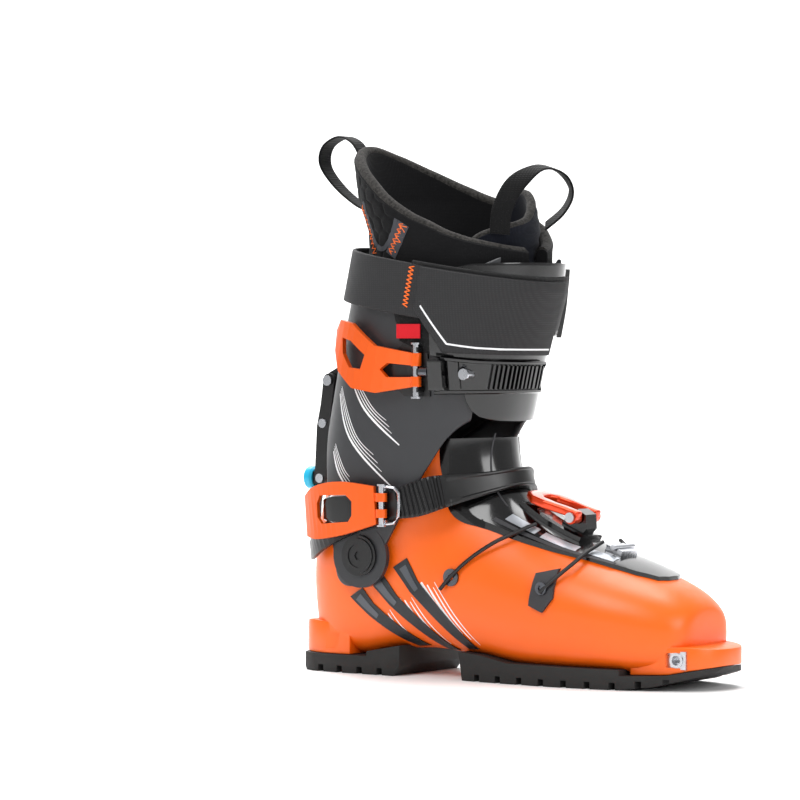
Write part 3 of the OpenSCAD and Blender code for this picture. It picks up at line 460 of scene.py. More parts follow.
LOOKS = {
    "shell": finish("orange_satin_shell", "#F06205", 0.38, grain=1500, bump=0.10, depth=0.05, mottle=0.03),
    "cuff": finish("graphite_satin_cuff", "#2A2B2E", 0.42, grain=1600, bump=0.18, depth=0.06, mottle=0.06),
    "gloss": finish("gloss_black", "#050506", 0.16, coat=0.4, grain=700, bump=0.05, depth=0.05,
                    mottle=0.15),
    "black": finish("satin_black_plastic", "#101011", 0.36, grain=1300, bump=0.2, depth=0.06, mottle=0.12),
    "rubber": finish("sole_rubber", "#191817", 0.66, grain=800, bump=0.45, depth=0.18, mottle=0.16),
    "panel": finish("overmoulded_rubber", "#2E2E31", 0.62, grain=1300, bump=0.4, depth=0.12, mottle=0.08),
    "inlay": finish("inlay_grey", "#26282B", 0.42, metallic=0.25, grain=1500, bump=0.25, depth=0.06),
    "bar": finish("inlay_metal", "#55585D", 0.34, metallic=0.7, grain=1700, bump=0.15, depth=0.04),
    "silver": finish("brushed_steel", "#C9CBD0", 0.27, metallic=1.0, grain=1400, bump=0.1, depth=0.03,
                     mottle=0.05),
    "dark_steel": finish("dark_steel", "#5B5D62", 0.30, metallic=1.0, grain=1400, bump=0.15, depth=0.03),
    "anodised": finish("orange_anodised", "#EE5C04", 0.32, metallic=0.3, coat=0.25, grain=1400, bump=0.08,
                       depth=0.04, mottle=0.03),
    "red_anodised": finish("red_orange_anodised", "#E63F06", 0.2, metallic=0.6, coat=0.5, grain=1400,
                           bump=0.05,
                           depth=0.04, mottle=0.04),
    "copper": finish("copper_spring", "#C77B45", 0.28, metallic=1.0, grain=1500, bump=0.1, depth=0.03),
    "cyan": finish("cyan_knob", "#19B2DA", 0.36, grain=1300, bump=0.2, depth=0.06, mottle=0.05),
    "red": finish("red_label", "#D3202B", 0.62, grain=1200, bump=0.4, depth=0.12, weave=(0.7, 0.7)),
    "cable": finish("cable_sheath", "#131314", 0.45, grain=900, bump=0.3, depth=0.1),
    "foam": finish("liner_fabric", "#0F0F11", 0.82, sheen=0.04, grain=900, bump=0.5, depth=0.25,
                   weave=(0.9, 0.9),
                   second="#060607"),
    "mesh": finish("liner_mesh", "#202023", 0.85, sheen=0.04, grain=900, bump=0.8, depth=0.5,
                   weave=(2.2, 2.2),
                   second="#08080A"),
    "lining": finish("tongue_neoprene", "#10131D", 0.86, sheen=0.06, grain=1100, bump=0.5, depth=0.2,
                     weave=(0.8, 0.8), second="#080A10"),
    "piping": finish("heather_piping", "#3A3836", 0.9, sheen=0.06, grain=520, bump=0.8, depth=0.5,
                     mottle=0.25,
                     second="#0C0C0C"),
    "tape": finish("grey_tape", "#4A4B50", 0.8, sheen=0.04, grain=900, bump=0.6, depth=0.2,
                   weave=(0.7, 0.7)),
    "webbing": finish("black_webbing", "#0A0A0B", 0.7, sheen=0.04, grain=900, bump=0.7, depth=0.3,
                      weave=(1.8, 1.4)),
    "strap": finish("charcoal_webbing", "#333334", 0.66, sheen=0.03, grain=900, bump=0.4, depth=0.2,
                    weave=(1.7, 1.3), second="#262627"),
    "pile": finish("loop_pile", "#0C0C0D", 0.95, sheen=0.04, grain=420, bump=1.0, depth=0.9, mottle=0.3),
    "thread": finish("orange_thread", "#F06A12", 0.7, sheen=0.03, grain=1500, bump=0.5, depth=0.1),
    "white": finish("white_print", "#E9EAEC", 0.5, grain=1200, bump=0.1, depth=0.03, mottle=0.03),
    "grey_print": finish("grey_print", "#A9ADB3", 0.30, metallic=0.5, coat=0.3, grain=1200, bump=0.1,
                         depth=0.03),
}


def place(piece, body, look, *nodes, slot=None):
    """Gives a piece its material, the body it rides on and the CAD nodes it stands for."""
    piece.data.materials.clear()
    piece.data.materials.append(LOOKS[look])
    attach(piece, body)
    if nodes:
        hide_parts(*nodes)
    return piece


def paint(look, *nodes):
    for name in nodes:
        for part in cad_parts[name].material_slots:
            part.material = LOOKS[look]


# ---------- marks laid on a surface ----------
def tree_of(piece):
    graph = bpy.context.evaluated_depsgraph_get()
    return BVHTree.FromObject(piece, graph)


def on_surface(tree, x, z, side=LATERAL, lift=0.12):
    """The point of a surface seen at x, z from one side, in design millimetres."""
    start = Vector(((x - ORIGIN_X) * MM, side * 0.2, z * MM))
    hit, normal, _, _ = tree.ray_cast(start, Vector((0, -side, 0)))
    if hit is None:
        return None
    if normal.y * side < 0:
        normal = -normal
    hit = hit + normal * (lift * MM)
    return (hit.x / MM + ORIGIN_X, hit.y / MM, hit.z / MM)


def resampled(points, step=1.0):
    out = []
    for (x0, z0), (x1, z1) in zip(points, points[1:]):
        n = max(1, int(hypot(x1 - x0, z1 - z0) / step))
        out += [(x0 + (x1 - x0) * k / n, z0 + (z1 - z0) * k / n) for k in range(n)]
    return out + [points[-1]]


def rounded_line(points, steps=8):
    """A smooth line through points."""
    return [tuple(curve(points, i / steps)) for i in range((len(points) - 1) * steps + 1)]


def stripe(tree, points, width, side=LATERAL, lift=0.12, thick=0.16, taper=None):
    """A thin band along a line on the side of a surface. taper gives the width factor along it."""
    line = resampled(points)
    rings = []
    for i, (x, z) in enumerate(line):
        ax, az = line[max(i - 1, 0)]
        bx, bz = line[min(i + 1, len(line) - 1)]
        run = max(hypot(bx - ax, bz - az), 1e-6)
        nx, nz = -(bz - az) / run, (bx - ax) / run
        half = width / 2 * (taper(i / (len(line) - 1)) if taper else 1)
        row = [on_surface(tree, x + nx * half * v, z + nz * half * v, side, lift) for v in (-1, 0, 1)]
        if all(row):
            low = [(p[0], p[1] - side * thick, p[2]) for p in row]
            rings.append(row + low[::-1])
    return loft("mark", rings, smooth=50) if len(rings) > 1 else None


def zigzag(tree, start, end, width, pitch, side=LATERAL, r=0.45):
    """A sewn zigzag line on a surface."""
    (x0, z0), (x1, z1) = start, end
    run = hypot(x1 - x0, z1 - z0)
    nx, nz = -(z1 - z0) / run, (x1 - x0) / run
    n = int(run / pitch) * 2
    marks = []
    for k in range(n):
        pts = []
        for q in range(4):
            f = (k + q / 3) / n
            v = width / 2 * ((1 - 2 * (q / 3)) if k % 2 == 0 else (2 * (q / 3) - 1))
            pts.append(on_surface(tree, x0 + (x1 - x0) * f + nx * v, z0 + (z1 - z0) * f + nz * v,
                                  side, r * 0.5))
        if all(pts):
            marks.append(tube("mark", pts, r, 6))
    return joined("stitch", marks)


def marks(name, body, look, bits):
    """Several marks as one piece."""
    return place(joined(name, [b for b in bits if b]), body, look)


# ---------- lower shell ----------
COLLAR = [(-20, 119), (12, 121), (30, 125), (60, 129), (90, 136), (104, 142), (112, 149), (119, 150),
          (127, 143),
          (134, 132), (142, 124), (156, 118), (180, 150), (200, 240), (-20, 240)]
THROAT = [(240, -3), (234, -10), (216, -14), (196, -18), (165, -21), (140, -23), (110, -26), (60, -30),
          (60, 30),
          (110, 26), (140, 23), (165, 21), (196, 20), (216, 18), (234, 15), (240, 8)]


def build_lower_shell():
    shell = form("lower_shell_fine", 0, 0, LAST, 130, 150)
    toe = [(255 + 52 * abs(cos(radians(k))) ** 0.78, 3 + 36 * power(sin(radians(k)), 0.8))
           for k in range(-90, 91, 3)]
    lip = prism(toe, 8, 28, "above")
    keep(lip, prism([(252, 9), (280, 10), (308, 15.5), (308, 25.5), (290, 27), (252, 28)], -60, 60))
    rounded(lip, 0.8)
    heel = [(46 + 46 * power(cos(radians(k)), 0.7), 34 * power(sin(radians(k)), 0.7))
            for k in range(90, 271, 3)]
    block = prism(heel, 12, 34, "above")
    keep(block, prism([(-2, 12), (60, 12), (60, 24), (46, 31), (14, 33.5), (-2, 32)], -60, 60))
    rounded(block, 0.8)
    add(shell, lip, block, pin(*PIVOT, BOSS_R, 40, 46.1), pin(*PIVOT, BOSS_R, -46.1, -40))
    cut(shell, form("tool", SHELL_T, 2.2, LAST + 0.5, 60, 80, hollow=True), prism(COLLAR, -80, 80),
        prism(THROAT, 50, 200, "above"), pin(*SOCKET, 4.8, -62, 62),
        prism([(-5, 12), (4.1, 12), (4.1, 30.1), (-5, 30.1)], -15.1, 15.1))
    recess = [(14, 15), (34, 15), (38, 25), (18, 25)]
    cut(shell, prism([(278.45, 13.45), (291.55, 13.45), (291.55, 24.55), (278.45, 24.55)], -28.1, 34.1),
        prism(recess, -36, -33), prism(recess, 33, 36), pin(*PIVOT, BOLT_R + 0.1, -60, 60))
    plate = [(279.6, 14.4), (290.4, 14.4), (291, 15), (291, 23), (290.4, 23.6), (279.6, 23.6), (279, 23),
             (279, 15)]
    cut(shell, prism(plate, -45, -27), prism(plate, 33, 45))
    return place(shell, "lower", "shell", "lower_shell", slot="shell_orange")


SHELL = build_lower_shell()
SHELL_TREE = tree_of(SHELL)
place(on_form("medial_panel_fine", 0.1, 0.9, 5, 60,
              [(48, 54), (84, 62), (122, 40), (136, 27), (140, 20), (92, 20), (62, 20.5)]),
      "lower", "panel", "medial_panel", slot="panel_rubber")
INLAYS = [[(86, 70), (96, 76), (104, 62), (146, 20), (138, 19.5), (98, 55)],
          [(68, 60), (78, 65), (88, 52), (127, 18), (118, 18), (82, 46)],
          [(52, 50), (62, 56), (70, 46), (104, 20), (94, 19), (66, 38)]]
place(on_form("lateral_inlays_fine", 0.1, 0.9, -60, -5, *INLAYS), "lower", "inlay", "lateral_inlays",
      slot="inlay_plastic")
INLAY_TREE = tree_of(bpy.data.objects["lateral_inlays_fine"])


def inlay_lines():
    """Metal windows in the heads of the inlays and the printed lines beside them."""
    windows, prints = [], []
    for line in ([(93.2, 70.5), (97.8, 63.4), (103.4, 56)], [(74.2, 59.6), (80.8, 52.4), (87, 46.6)],
                 [(58.6, 50.2), (65.4, 43.8), (72.4, 38)]):
        windows.append(stripe(INLAY_TREE, rounded_line(line), 5.6, lift=0.25, thick=0.5,
                              taper=lambda t: 1.0 - 0.4 * t))
    for x, z, reach in ((106.5, 61, 1.0), (89.5, 50, 0.75), (72.5, 41, 0.55)):
        bundle = (3.4, 0.0, 0.66), (1.8, 0.1, 0.8), (1.1, 0.2, 0.9), (0.7, 0.1, 1.0)
        for k, (wide, start, stop) in enumerate(bundle):
            ax, az = x + 2.7 * k + 20 * reach * start, z + 1.0 * k - 24 * reach * start
            bx, bz = x + 2.7 * k + 34 * reach * stop, z + 1.0 * k - 41 * reach * stop
            line = rounded_line([(ax, az), ((ax + bx) / 2 - 0.8, (az + bz) / 2 - 0.6), (bx, bz)])
            prints.append(stripe(SHELL_TREE, line, wide, taper=lambda t: 0.45 + 0.55 * sin(pi * t)))
    marks("inlay_insets", "lower", "bar", windows)
    marks("shell_lines", "lower", "white", prints)


inlay_lines()


# ---------- soles ----------
def groove(x, lift, below=6):
    """A tread groove across the sole, a little narrower at its root."""
    wide, root = GROOVE / 2, GROOVE / 2 - 0.5
    return prism([(x - wide, lift - below), (x + wide, lift - below), (x + root, TREAD + lift),
                  (x - root, TREAD + lift)],
                 -60, 60)


def build_soles():
    plan = [(133, -39), (150, -42), (172, -44), (206, -46), (236, -44.5), (262, -39.5), (280, -33.5),
            (293, -27.5),
            (301, -18.5), (305, -8), (306, 3), (305, 14), (301, 24.5), (293, 33.5), (280, 39.5), (262, 46),
            (236, 50.5), (206, 49.5), (172, 44.5), (150, 41.5), (133, 38)]
    sole = prism(plan, 0, 20, "above")
    keep(sole, prism([(133, 18), (136, 0), (250, 0), (272, 2.5), (303, 10.6), (306, 14.8), (280, 9.8),
                      (252, 8.8),
                      (252, 12.5), (172, 13), (150, 17)], -60, 60))
    for i in range(9):
        x, lift = 148.5 + GROOVE_STEP * i, max(0, (i - 6) * 1.4)
        cut(sole, groove(x, lift))
    cut(sole, prism([(140, -2), (258, -2), (258, 5), (140, 5)], -1, TREAD, "above"))
    rounded(sole, 0.7)
    cut(sole, form("tool", -0.15, 0, LAST, 90, 110))
    place(sole, "lower", "rubber", "forefoot_sole", slot="sole_rubber").name = "forefoot_sole_fine"
    heel = prism([(2, -18), (6, -27), (16, -33), (40, -36), (70, -37), (87, -37.5), (87, 37.5), (70, 37),
                  (40, 36),
                  (16, 33), (6, 27), (2, 18)], 0, 20, "above")
    keep(heel, prism([(1, 11.9), (5, 3), (8, 0), (82, 0), (88, 8), (88, 20), (61, 15), (60.5, 11.9)], -60,
                     60))
    for i in range(4):
        x = 22.9 + 16 * i
        cut(heel, groove(x, 0, 1))
    cut(heel, prism([(12, -3.5), (74, -3.5), (74, 3.5), (12, 3.5)], -1, TREAD, "above"))
    rounded(heel, 0.7)
    cut(heel, form("tool", -0.15, 0, LAST, 90, 110))
    place(heel, "lower", "rubber", "heel_sole", slot="sole_rubber").name = "heel_sole_fine"


build_soles()


# ---------- tongue of the shell ----------
def build_tongue():
    tongue = form("shell_tongue_fine", -TONGUE_HI, 1.2, LAST - 0.3, 120, 150)
    keep(tongue, prism([(265, -2), (262, -10), (250, -17), (236, -21), (218, -24), (196, -28), (168, -31),
                        (142, -33),
                        (116, -36), (116, 36), (142, 33), (168, 31), (196, 30), (218, 29), (236, 27),
                        (250, 24),
                        (262, 17), (265, 9)], 52, 202, "above"))
    cut(tongue, form("tool", -TONGUE_LO, 0.6, LAST + 0.3, 120, 150),
        prism([(90, 148), (120, 152), (190, 154), (190, 220), (90, 220)], -80, 80))
    return place(tongue, "lower", "gloss", "shell_tongue", slot="black_plastic")


def shell_band(s0, s1, a0, a1, lift=2.82, steps=40, across=8, thick=0.25):
    """A thin band that follows the tongue from one station and angle to another."""
    rings = []
    for i in range(steps + 1):
        s = s0 + (s1 - s0) * i / steps
        lo, hi = a0(s), a1(s)
        top = [section(s, radians(lo + (hi - lo) * j / across), -lift - thick) for j in range(across + 1)]
        low = [section(s, radians(lo + (hi - lo) * j / across), -lift) for j in range(across, -1, -1)]
        rings.append(top + low)
    return loft("band", rings, smooth=50)


build_tongue()
marks("tongue_bands", "lower", "grey_print", [
    shell_band(7.9, 9.0, lambda s: -31.5 - 3.4 * (s - 8), lambda s: -23.5 - 3.4 * (s - 8)),
    shell_band(6.55, 7.7, lambda s: -29.5 - 2.6 * (s - 7), lambda s: -21.5 - 2.6 * (s - 7)),
    shell_band(5.3, 6.2, lambda s: -25.5 - 2.6 * (s - 6), lambda s: -17 - 2.6 * (s - 6))])
marks("tongue_edge_band", "lower", "panel", [
    shell_band(5.2, 9.3, lambda s: -37.0 - 3.6 * (s - 8), lambda s: -33.5 - 3.6 * (s - 8), lift=2.75,
               steps=90)])
marks("tongue_seams", "lower", "panel", [
    shell_band(9.4, 14.2, lambda s: -26 + 1.5 * (s - 9), lambda s: -24.6 + 1.5 * (s - 9), lift=2.75),
    shell_band(9.4, 14.2, lambda s: 24.6 - 1.5 * (s - 9), lambda s: 26 - 1.5 * (s - 9), lift=2.75)])


# ---------- cables ----------
def shell_path(rows, lift, steps=8):
    path = []
    for i in range((len(rows) - 1) * steps + 1):
        s, a, more = curve(rows, i / steps)
        path.append(section(s, radians(a), -lift - more))
    return path


for name, rows in (("rear_cable", [[9.05, 92, 1.2], [8.9, 74, 0.8], [8.6, 56, 3], [8.3, 40, 3.4],
                                   [8.1, 24, 3.6]]),
                   ("front_cable", [[6.7, 76, 2.2], [6.45, 60, 2.0], [6.2, 42, 3.4], [6.15, 22, 3.6],
                                    [6.1, 10, 5.8]])):
    sides = [tube("cable", shell_path([[s, a * m, l] for s, a, l in rows], 1.6), 1.25, 12) for m in (-1, 1)]
    place(joined(name + "_fine", sides), "lower", "cable", name, slot="cable_sheath")


# ---------- ankle strap ----------
ANKLE = [
    [76, -55.1, 107, 0, -1, 0, 17, 2], [88, -55.2, 109, 0, -1, 0, 17, 2],
    [98, -55.6, 111, 0.1, -1, 0, 19, 2.4],
    [110, -53.2, 114, 0.25, -1, 0.05, 22, 2.6], [122, -50, 118, 0.45, -0.9, 0.1, 22, 2.6],
    [134, -40, 121, 0.65, -0.8, 0.2, 18, 2.6], [147, -25, 124.5, 0.85, -0.5, 0.25, 14, 2.6],
    [154.4, -12, 127, 0.95, -0.2, 0.25, 12, 2.6], [156.8, 0, 128, 1, 0, 0.2, 12, 2.6],
    [154.4, 13, 127, 0.95, 0.2, 0.25, 13, 2.6], [147.4, 26, 122.5, 0.85, 0.5, 0.25, 14, 2.6],
    [135, 37.5, 113, 0.6, 0.8, 0.2, 15, 2.6], [124, 44.5, 100, 0.3, 1, 0.1, 15, 2.6],
    [113, 46.6, 87, 0.1, 1, 0, 14, 2.4], [103, 46.2, 76, 0, 1, 0, 13, 2.2]]


def ankle_relief(t, v):
    """Cross ribs behind the buckle and raised rims over the instep."""
    if 1.9 < t < 4.4:
        return 1.0 if (t * 4) % 1 < 0.5 and abs(v) < 0.92 else 0.0
    if t > 4.6:
        return 0.7 if abs(v) > 0.72 else 0.0
    return 0.0


ankle = strap("ankle_strap_fine", ANKLE, steps=24, relief=ankle_relief)
cut(ankle, pin(106, 79, 3.1, 30, 60))
place(ankle, "lower", "black", "ankle_strap", slot="black_plastic")
catch_body = strap("ankle_catch_body", [
    [39, -51.6, 106, -0.4, -0.92, 0, 14, 2.4], [48, -54.4, 106.5, -0.3, -0.95, 0, 18, 2.8],
    [60, -56.6, 107.2, -0.12, -1, 0, 18.5, 2.8], [74, -57.7, 108.6, -0.03, -1, 0, 18.5, 2.2]], steps=12,
    corner=1.0)
place(catch_body, "ankle_buckle_lever", "gloss")


def build_forefoot_lever():
    """The hexagonal ring lever, with generous rounded edges."""
    outline = [(4.2, -14.6), (-7, -14.6), (-20, -18), (-30, -16.5), (-39, -8), (-39, 8), (-30, 16.5),
               (-20, 18),
               (-7, 14.6), (4.2, 14.6), (4.2, 8), (-7, 8), (-15, 9.5), (-25, 8.5), (-29, 4), (-29, -4),
               (-25, -8.5),
               (-15, -9.5), (-7, -8), (4.2, -8)]
    ring = rounded(prism(outline, -0.5, 5.0, "above"), 1.5, 4, 20)
    for side in (-1, 1):
        y = sorted((7.8 * side, 14.9 * side))
        add(ring, pin(0, 0, 4.2, *y))
    cut(ring, pin(0, 0, 2.25, -20, 20))
    tilt = radians(17)
    for v in ring.data.vertices:
        x, z = v.co.x / MM + ORIGIN_X, v.co.z / MM
        v.co.x = (201 + x * cos(tilt) + z * sin(tilt) - ORIGIN_X) * MM
        v.co.z = (103.5 - x * sin(tilt) + z * cos(tilt)) * MM
    ring.name = "forefoot_lever_fine"
    place(soften(ring, 40), "forefoot_buckle_lever", "red_anodised", "forefoot_buckle_lever",
          slot="lever_red")


build_forefoot_lever()


# ---------- cuff ----------
def build_cuff():
    cuff = rounded_wall("cuff_shell_fine", lambda z, a, out: oval(CUFF, z, a, out), radians(38),
                        radians(322), 300,
                        cuff_low, cuff_top, CUFF_T)
    for side in (-1, 1):
        y = sorted((46.4 * side, 49.9 * side))
        add(cuff, pin(*PIVOT, EAR_R, *y, sides=96))
        y = sorted((40 * side, 46.4 * side))
        cut(cuff, pin(*PIVOT, BOSS_R + 0.6, *y, sides=96))
    cut(cuff, pin(*PIVOT, BOLT_R + 0.25, -60, 60))
    return place(cuff, "cuff", "cuff", "cuff_shell", slot="cuff_graphite")


CUFF_SHELL = build_cuff()
CUFF_TREE = tree_of(CUFF_SHELL)


def cuff_lines():
    """Three bundles of fine printed lines on the outer side of the cuff."""
    bundles = [((57, 190), (70, 170), (96, 148)), ((44, 180), (56, 152), (90, 121)),
               ((39, 143), (45, 130), (58, 116))]
    lines = []
    for (x0, z0), (x1, z1), (x2, z2) in bundles:
        for k, (lift, wide) in enumerate(((0, 1.5), (2.0, 0.7), (3.8, 0.7), (5.4, 0.6))):
            cutback = 0.86 - 0.14 * k if k else 1.0
            points = [(x0 + lift * 0.4, z0 + lift * 0.9), (x1 + lift, z1 + lift * 0.5),
                      (x1 + (x2 - x1) * cutback + lift, z1 + (z2 - z1) * cutback + lift * 0.6)]
            lines.append(stripe(CUFF_TREE, rounded_line(points), wide,
                                taper=lambda t: 0.3 + 0.7 * sin(pi * (0.12 + 0.8 * t))))
    marks("cuff_lines", "cuff", "white", lines)


cuff_lines()
flap = on_cuff("cuff_flap_fine", 0.2, 2.6, -60, 60,
               [(122, 256), (121, 205), (137, 202), (138.6, 184), (139.6, 176), (141.5, 170),
                (144.5, 166.2),
                (149, 164), (160, 162), (200, 161), (200, 264), (150, 262)])
place(rounded(flap, 0.6), "cuff", "gloss", "cuff_flap", slot="black_plastic")


def strap_z(x):
    return 273.5 - 0.16 * (x - 45)


def edge_at(line, out=0.0):
    """An edge given as height by x, seen from the side, as height by angle round the cuff."""
    def height(a):
        z = line(120)
        for _ in range(4):
            z = line(oval(CUFF, z, a, out)[0])
        return z
    return height


def band_on_cuff(name, lo, hi, a0, a1, low, top, columns, edge=None, dent=None, closed=False, rows=40):
    return rounded_wall(name, lambda z, a, out: oval(CUFF, z, a, hi + out), radians(a0), radians(a1),
                        columns, edge_at(low, hi), edge_at(top, hi), hi - lo, rows, edge or (hi - lo) / 2,
                        dent, closed)


POWER = band_on_cuff("power_strap_fine", STRAP_LO, STRAP_HI, 0, 360, lambda x: strap_z(x) - STRAP_H,
                     strap_z, 300, edge=0.9,
                     closed=True, rows=30)
place(POWER, "cuff", "strap", "power_strap", slot="strap_webbing")
WING_LOW = [[100, 238], [112, 238], [131, 206.5], [200, 203]]
WING = band_on_cuff("strap_wing_fine", 5.35, 7.2, -83, 10.4, lambda x: table(WING_LOW, x)[1],
                    lambda x: strap_z(x) - 1, 160, edge=0.8, rows=50)
place(WING, "cuff", "strap", "strap_wing", slot="strap_webbing")


def strap_details():
    """The printed edge line, the sewn zigzag, the pile patch and the pile that shows over the strap."""
    wing, band = tree_of(WING), tree_of(POWER)
    line = [(119, 236), (134.5, 212), (150, 209.5), (163, 208.5)]
    marks("wing_line", "cuff", "white", [stripe(wing, line, 1.1, lift=0.1)])
    front = [oval(CUFF, table([[100, 209.2], [163, 208.5], [175, 208.2]],
                              oval(CUFF, 208, radians(a), 7.3)[0])[1],
                  radians(a), 7.32) for a in range(-32, 10, 2)]
    forward = cos(radians(6))
    rows = [[*p, forward, 0.1 * k - 0.8, 0, 1.1, 0.16] for k, p in enumerate(front)]
    place(strap("wing_line_front", rows, steps=2, corner=0.05), "cuff", "white")
    marks("power_stitch", "cuff", "thread", [zigzag(band, (112.5, 261), (107, 235.5), 3.6, 2.6, r=0.4)])
    patch = [(96, 233), (114, 232), (127, 208), (126, 203), (100, 214)]
    place(rounded(on_cuff("pile_patch", 0.3, 2.2, -80, -5, patch, 190, 270), 0.5), "cuff", "pile")
    fuzz = [oval(CUFF, strap_z(oval(CUFF, 262, radians(a), 5)[0]) + 0.5, radians(a), 4.1)
            for a in range(-88, 30, 2)]
    place(tube("strap_pile_edge", fuzz, 1.5, 8), "cuff", "pile")


strap_details()
STRAP_TOP = [[100, 207], [124, 205], [150, 202], [200, 199]]


def catch_relief(a, z, z0, z1):
    """Rims along both edges of the catch strap and ladder teeth at its front end."""
    lift = 0.0
    if z - z0 < 1.6 or z1 - z < 1.6:
        lift = 1.5
    x = oval(CUFF, z, a, 5)[0]
    if 150.5 < x and z0 + 2.4 < z < z1 - 2.4 and a < radians(8):
        lift = max(lift, 2.1 if ((degrees(a) + 90) / 3.2) % 1 < 0.5 and a > radians(-34) else 0.0)
    return lift


catch = band_on_cuff("cuff_strap_fine", STRAP_LO, STRAP_HI, -63.8, 10.8, lambda x: 180 + (x - 124) / 76,
                     lambda x: table(STRAP_TOP, x)[1], 260, edge=0.8, dent=catch_relief, rows=70)
block = on_cuff("block", 3.3, 12.4, -80, -20, [(124.6, 202.5), (133, 201.5), (133, 183), (124.6, 183)],
                160, 220)
rounded(block, 0.9, 3)
slots = on_cuff("slots", 5.3, 6.6, -80, -5, [(136, 201), (139.5, 200.8), (139.5, 184), (136, 184)], 160,
                220)
place(joined("cuff_strap_whole", [catch, block, rounded(slots, 0.4)]), "cuff", "gloss", "cuff_strap",
      slot="black_plastic")


# ---------- liner ----------
def hexagon_groove(u, v, size):
    """1 inside a hexagonal cell, falling to 0 in the groove round it."""
    best = [9e9, 9e9]
    row = round(v / (size * 1.5))
    for r in (row - 1, row, row + 1):
        shift = (r % 2) * size * 0.866
        c = round((u - shift) / (size * 1.732))
        for q in (c - 1, c, c + 1):
            d = hypot(u - (q * size * 1.732 + shift), v - r * size * 1.5)
            if d < best[0]:
                best = [d, best[0]]
            elif d < best[1]:
                best[1] = d
    return clamp((best[1] - best[0]) / (size * 0.55), 0, 1)


def quilt(a, z, z0, z1):
    """Hexagons on the rear half of the liner, and plain fabric towards the front."""
    groove = hexagon_groove(degrees(a) * 0.98, z, 6.4)
    quilted = abs(pi - a) < radians(82) and z > 262
    return -0.3 - (0.9 * (1 - groove ** 0.5) if quilted else 0.0)


def build_liner():
    shaft = rounded_wall("liner_shaft_fine", lambda z, a, out: oval(SHAFT, z, a, out), radians(10),
                         radians(350), 340,
                         shaft_low, wrap_top, FOAM_T, rows=120, edge=3.6, dent=quilt)
    place(shaft, "cuff", "foam", "liner_shaft", slot="liner_foam")
    rim = [oval(SHAFT, wrap_top(radians(a)) - 2.2, radians(a), -4.4) for a in range(12, 349, 2)]
    place(tube("liner_piping", rim, 3.7, 14), "cuff", "piping")
    tongue = rounded_wall("liner_tongue_fine", lambda z, a, out: oval(SHAFT, z, a, out - 9.5), radians(-72),
                          radians(72), 120, lambda a: 180, lambda a: soft_table(TONGUE_TOP,
                                                                                degrees(a))[1], 6.5,
                          rows=80, edge=3.0, dent=lambda a, z, z0, z1: -0.5 * (0.5 + 0.5 * cos(z * 0.9)))
    place(tongue, "cuff", "lining", "liner_tongue", slot="tongue_foam")
    top = [oval(SHAFT, soft_table(TONGUE_TOP, a)[1] - 1.6, radians(a), -12.8) for a in range(-70, 72, 2)]
    place(tube("tongue_piping", top, 2.9, 12), "cuff", "piping")
    return shaft


LINER = build_liner()


def build_liner_foot():
    foot = form("liner_foot_fine", 4.8, 3.0, LAST + 0.5, 70, 90, hollow=True)
    cut(foot, form("tool", 12.8, 3.4, LAST + 0.5, 60, 80, hollow=True),
        prism([(-20, 121), (12, 122), (30, 125), (60, 129), (90, 136), (104, 142), (112, 149), (200, 150),
               (200, 240),
               (-20, 240)], -80, 80))
    place(foot, "lower", "foam", "liner_foot", slot="liner_foam")


build_liner_foot()


def liner_details():
    """The V of sewn tape on the outer side of the liner and its stitches."""
    skin = tree_of(LINER)
    bend = [(59, 303), (63, 292), (69, 280), (75, 273.5), (82, 273), (88, 280), (93, 291)]
    marks("liner_tape", "cuff", "tape", [stripe(skin, rounded_line(bend, 10), 3.2, lift=0.35, thick=0.4),
                                         stripe(skin, [(99, 288), (92.5, 276), (88, 268)], 9.5, lift=0.3,
                                                thick=0.4)])
    marks("liner_stitch", "cuff", "thread", [
        zigzag(skin, (56, 300), (71, 269), 4.0, 3.4, r=0.33), zigzag(skin, (99.5, 287), (88.5, 268), 5.5,
                                                                     3.4, r=0.33),
        zigzag(skin, (97.5, 288.5), (87, 270), 3, 3.4, r=0.3)])


liner_details()
place(strap("rear_pull_loop_fine", [
    [41.5, 0, 298, -1, 0, 0, 14, 1.4], [30, 0, 303, -0.3, 0, -1, 14, 1.4],
    [14, 0, 315, -0.7, 0, -0.7, 14, 1.4],
    [3, 0, 329, -1, 0, -0.4, 14, 1.4], [5, 0, 341, -0.7, 0, 0.8, 14, 1.4], [17, 0, 347, 0, 0, 1, 14, 1.4],
    [28, 0, 343, 0.5, 0, 1, 14, 1.4], [35, 0, 333, 1, 0, 0.4, 14, 1.4]], steps=14, corner=0.5),
    "cuff", "webbing", "rear_pull_loop", slot="webbing")
place(strap("front_pull_loop_fine", [
    [155, -25, 281, 0.72, -0.7, 0, 13, 1.4], [156, -23.5, 297, 0.72, -0.7, 0.1, 13, 1.4],
    [160, -14, 313, 0.5, -0.6, 0.5, 13, 1.4], [169, 0, 323.5, 0.2, -0.2, 1, 13, 1.4],
    [177, 13, 320, 0.5, 0.5, 0.7, 13, 1.4], [180, 20, 309, 0.7, 0.7, 0, 13, 1.4],
    [173, 22, 297, 0.7, 0.7, -0.4, 13, 1.4], [160.5, 20.5, 287, 0.7, 0.7, -0.5, 13, 1.4]], steps=14,
    corner=0.5),
    "cuff", "webbing", "front_pull_loop", slot="webbing")
coil = [(8.8 + 2.6 * t + 2.3 * cos(t * 48 * pi / 3), 2.3 * sin(t * 48 * pi / 3), 163.4 + 18 * t)
        for t in (k / 400 for k in range(401))]
place(tube("return_spring_fine", coil, 0.55, 10), "walk_bar", "copper", "return_spring",
      slot="spring_copper")

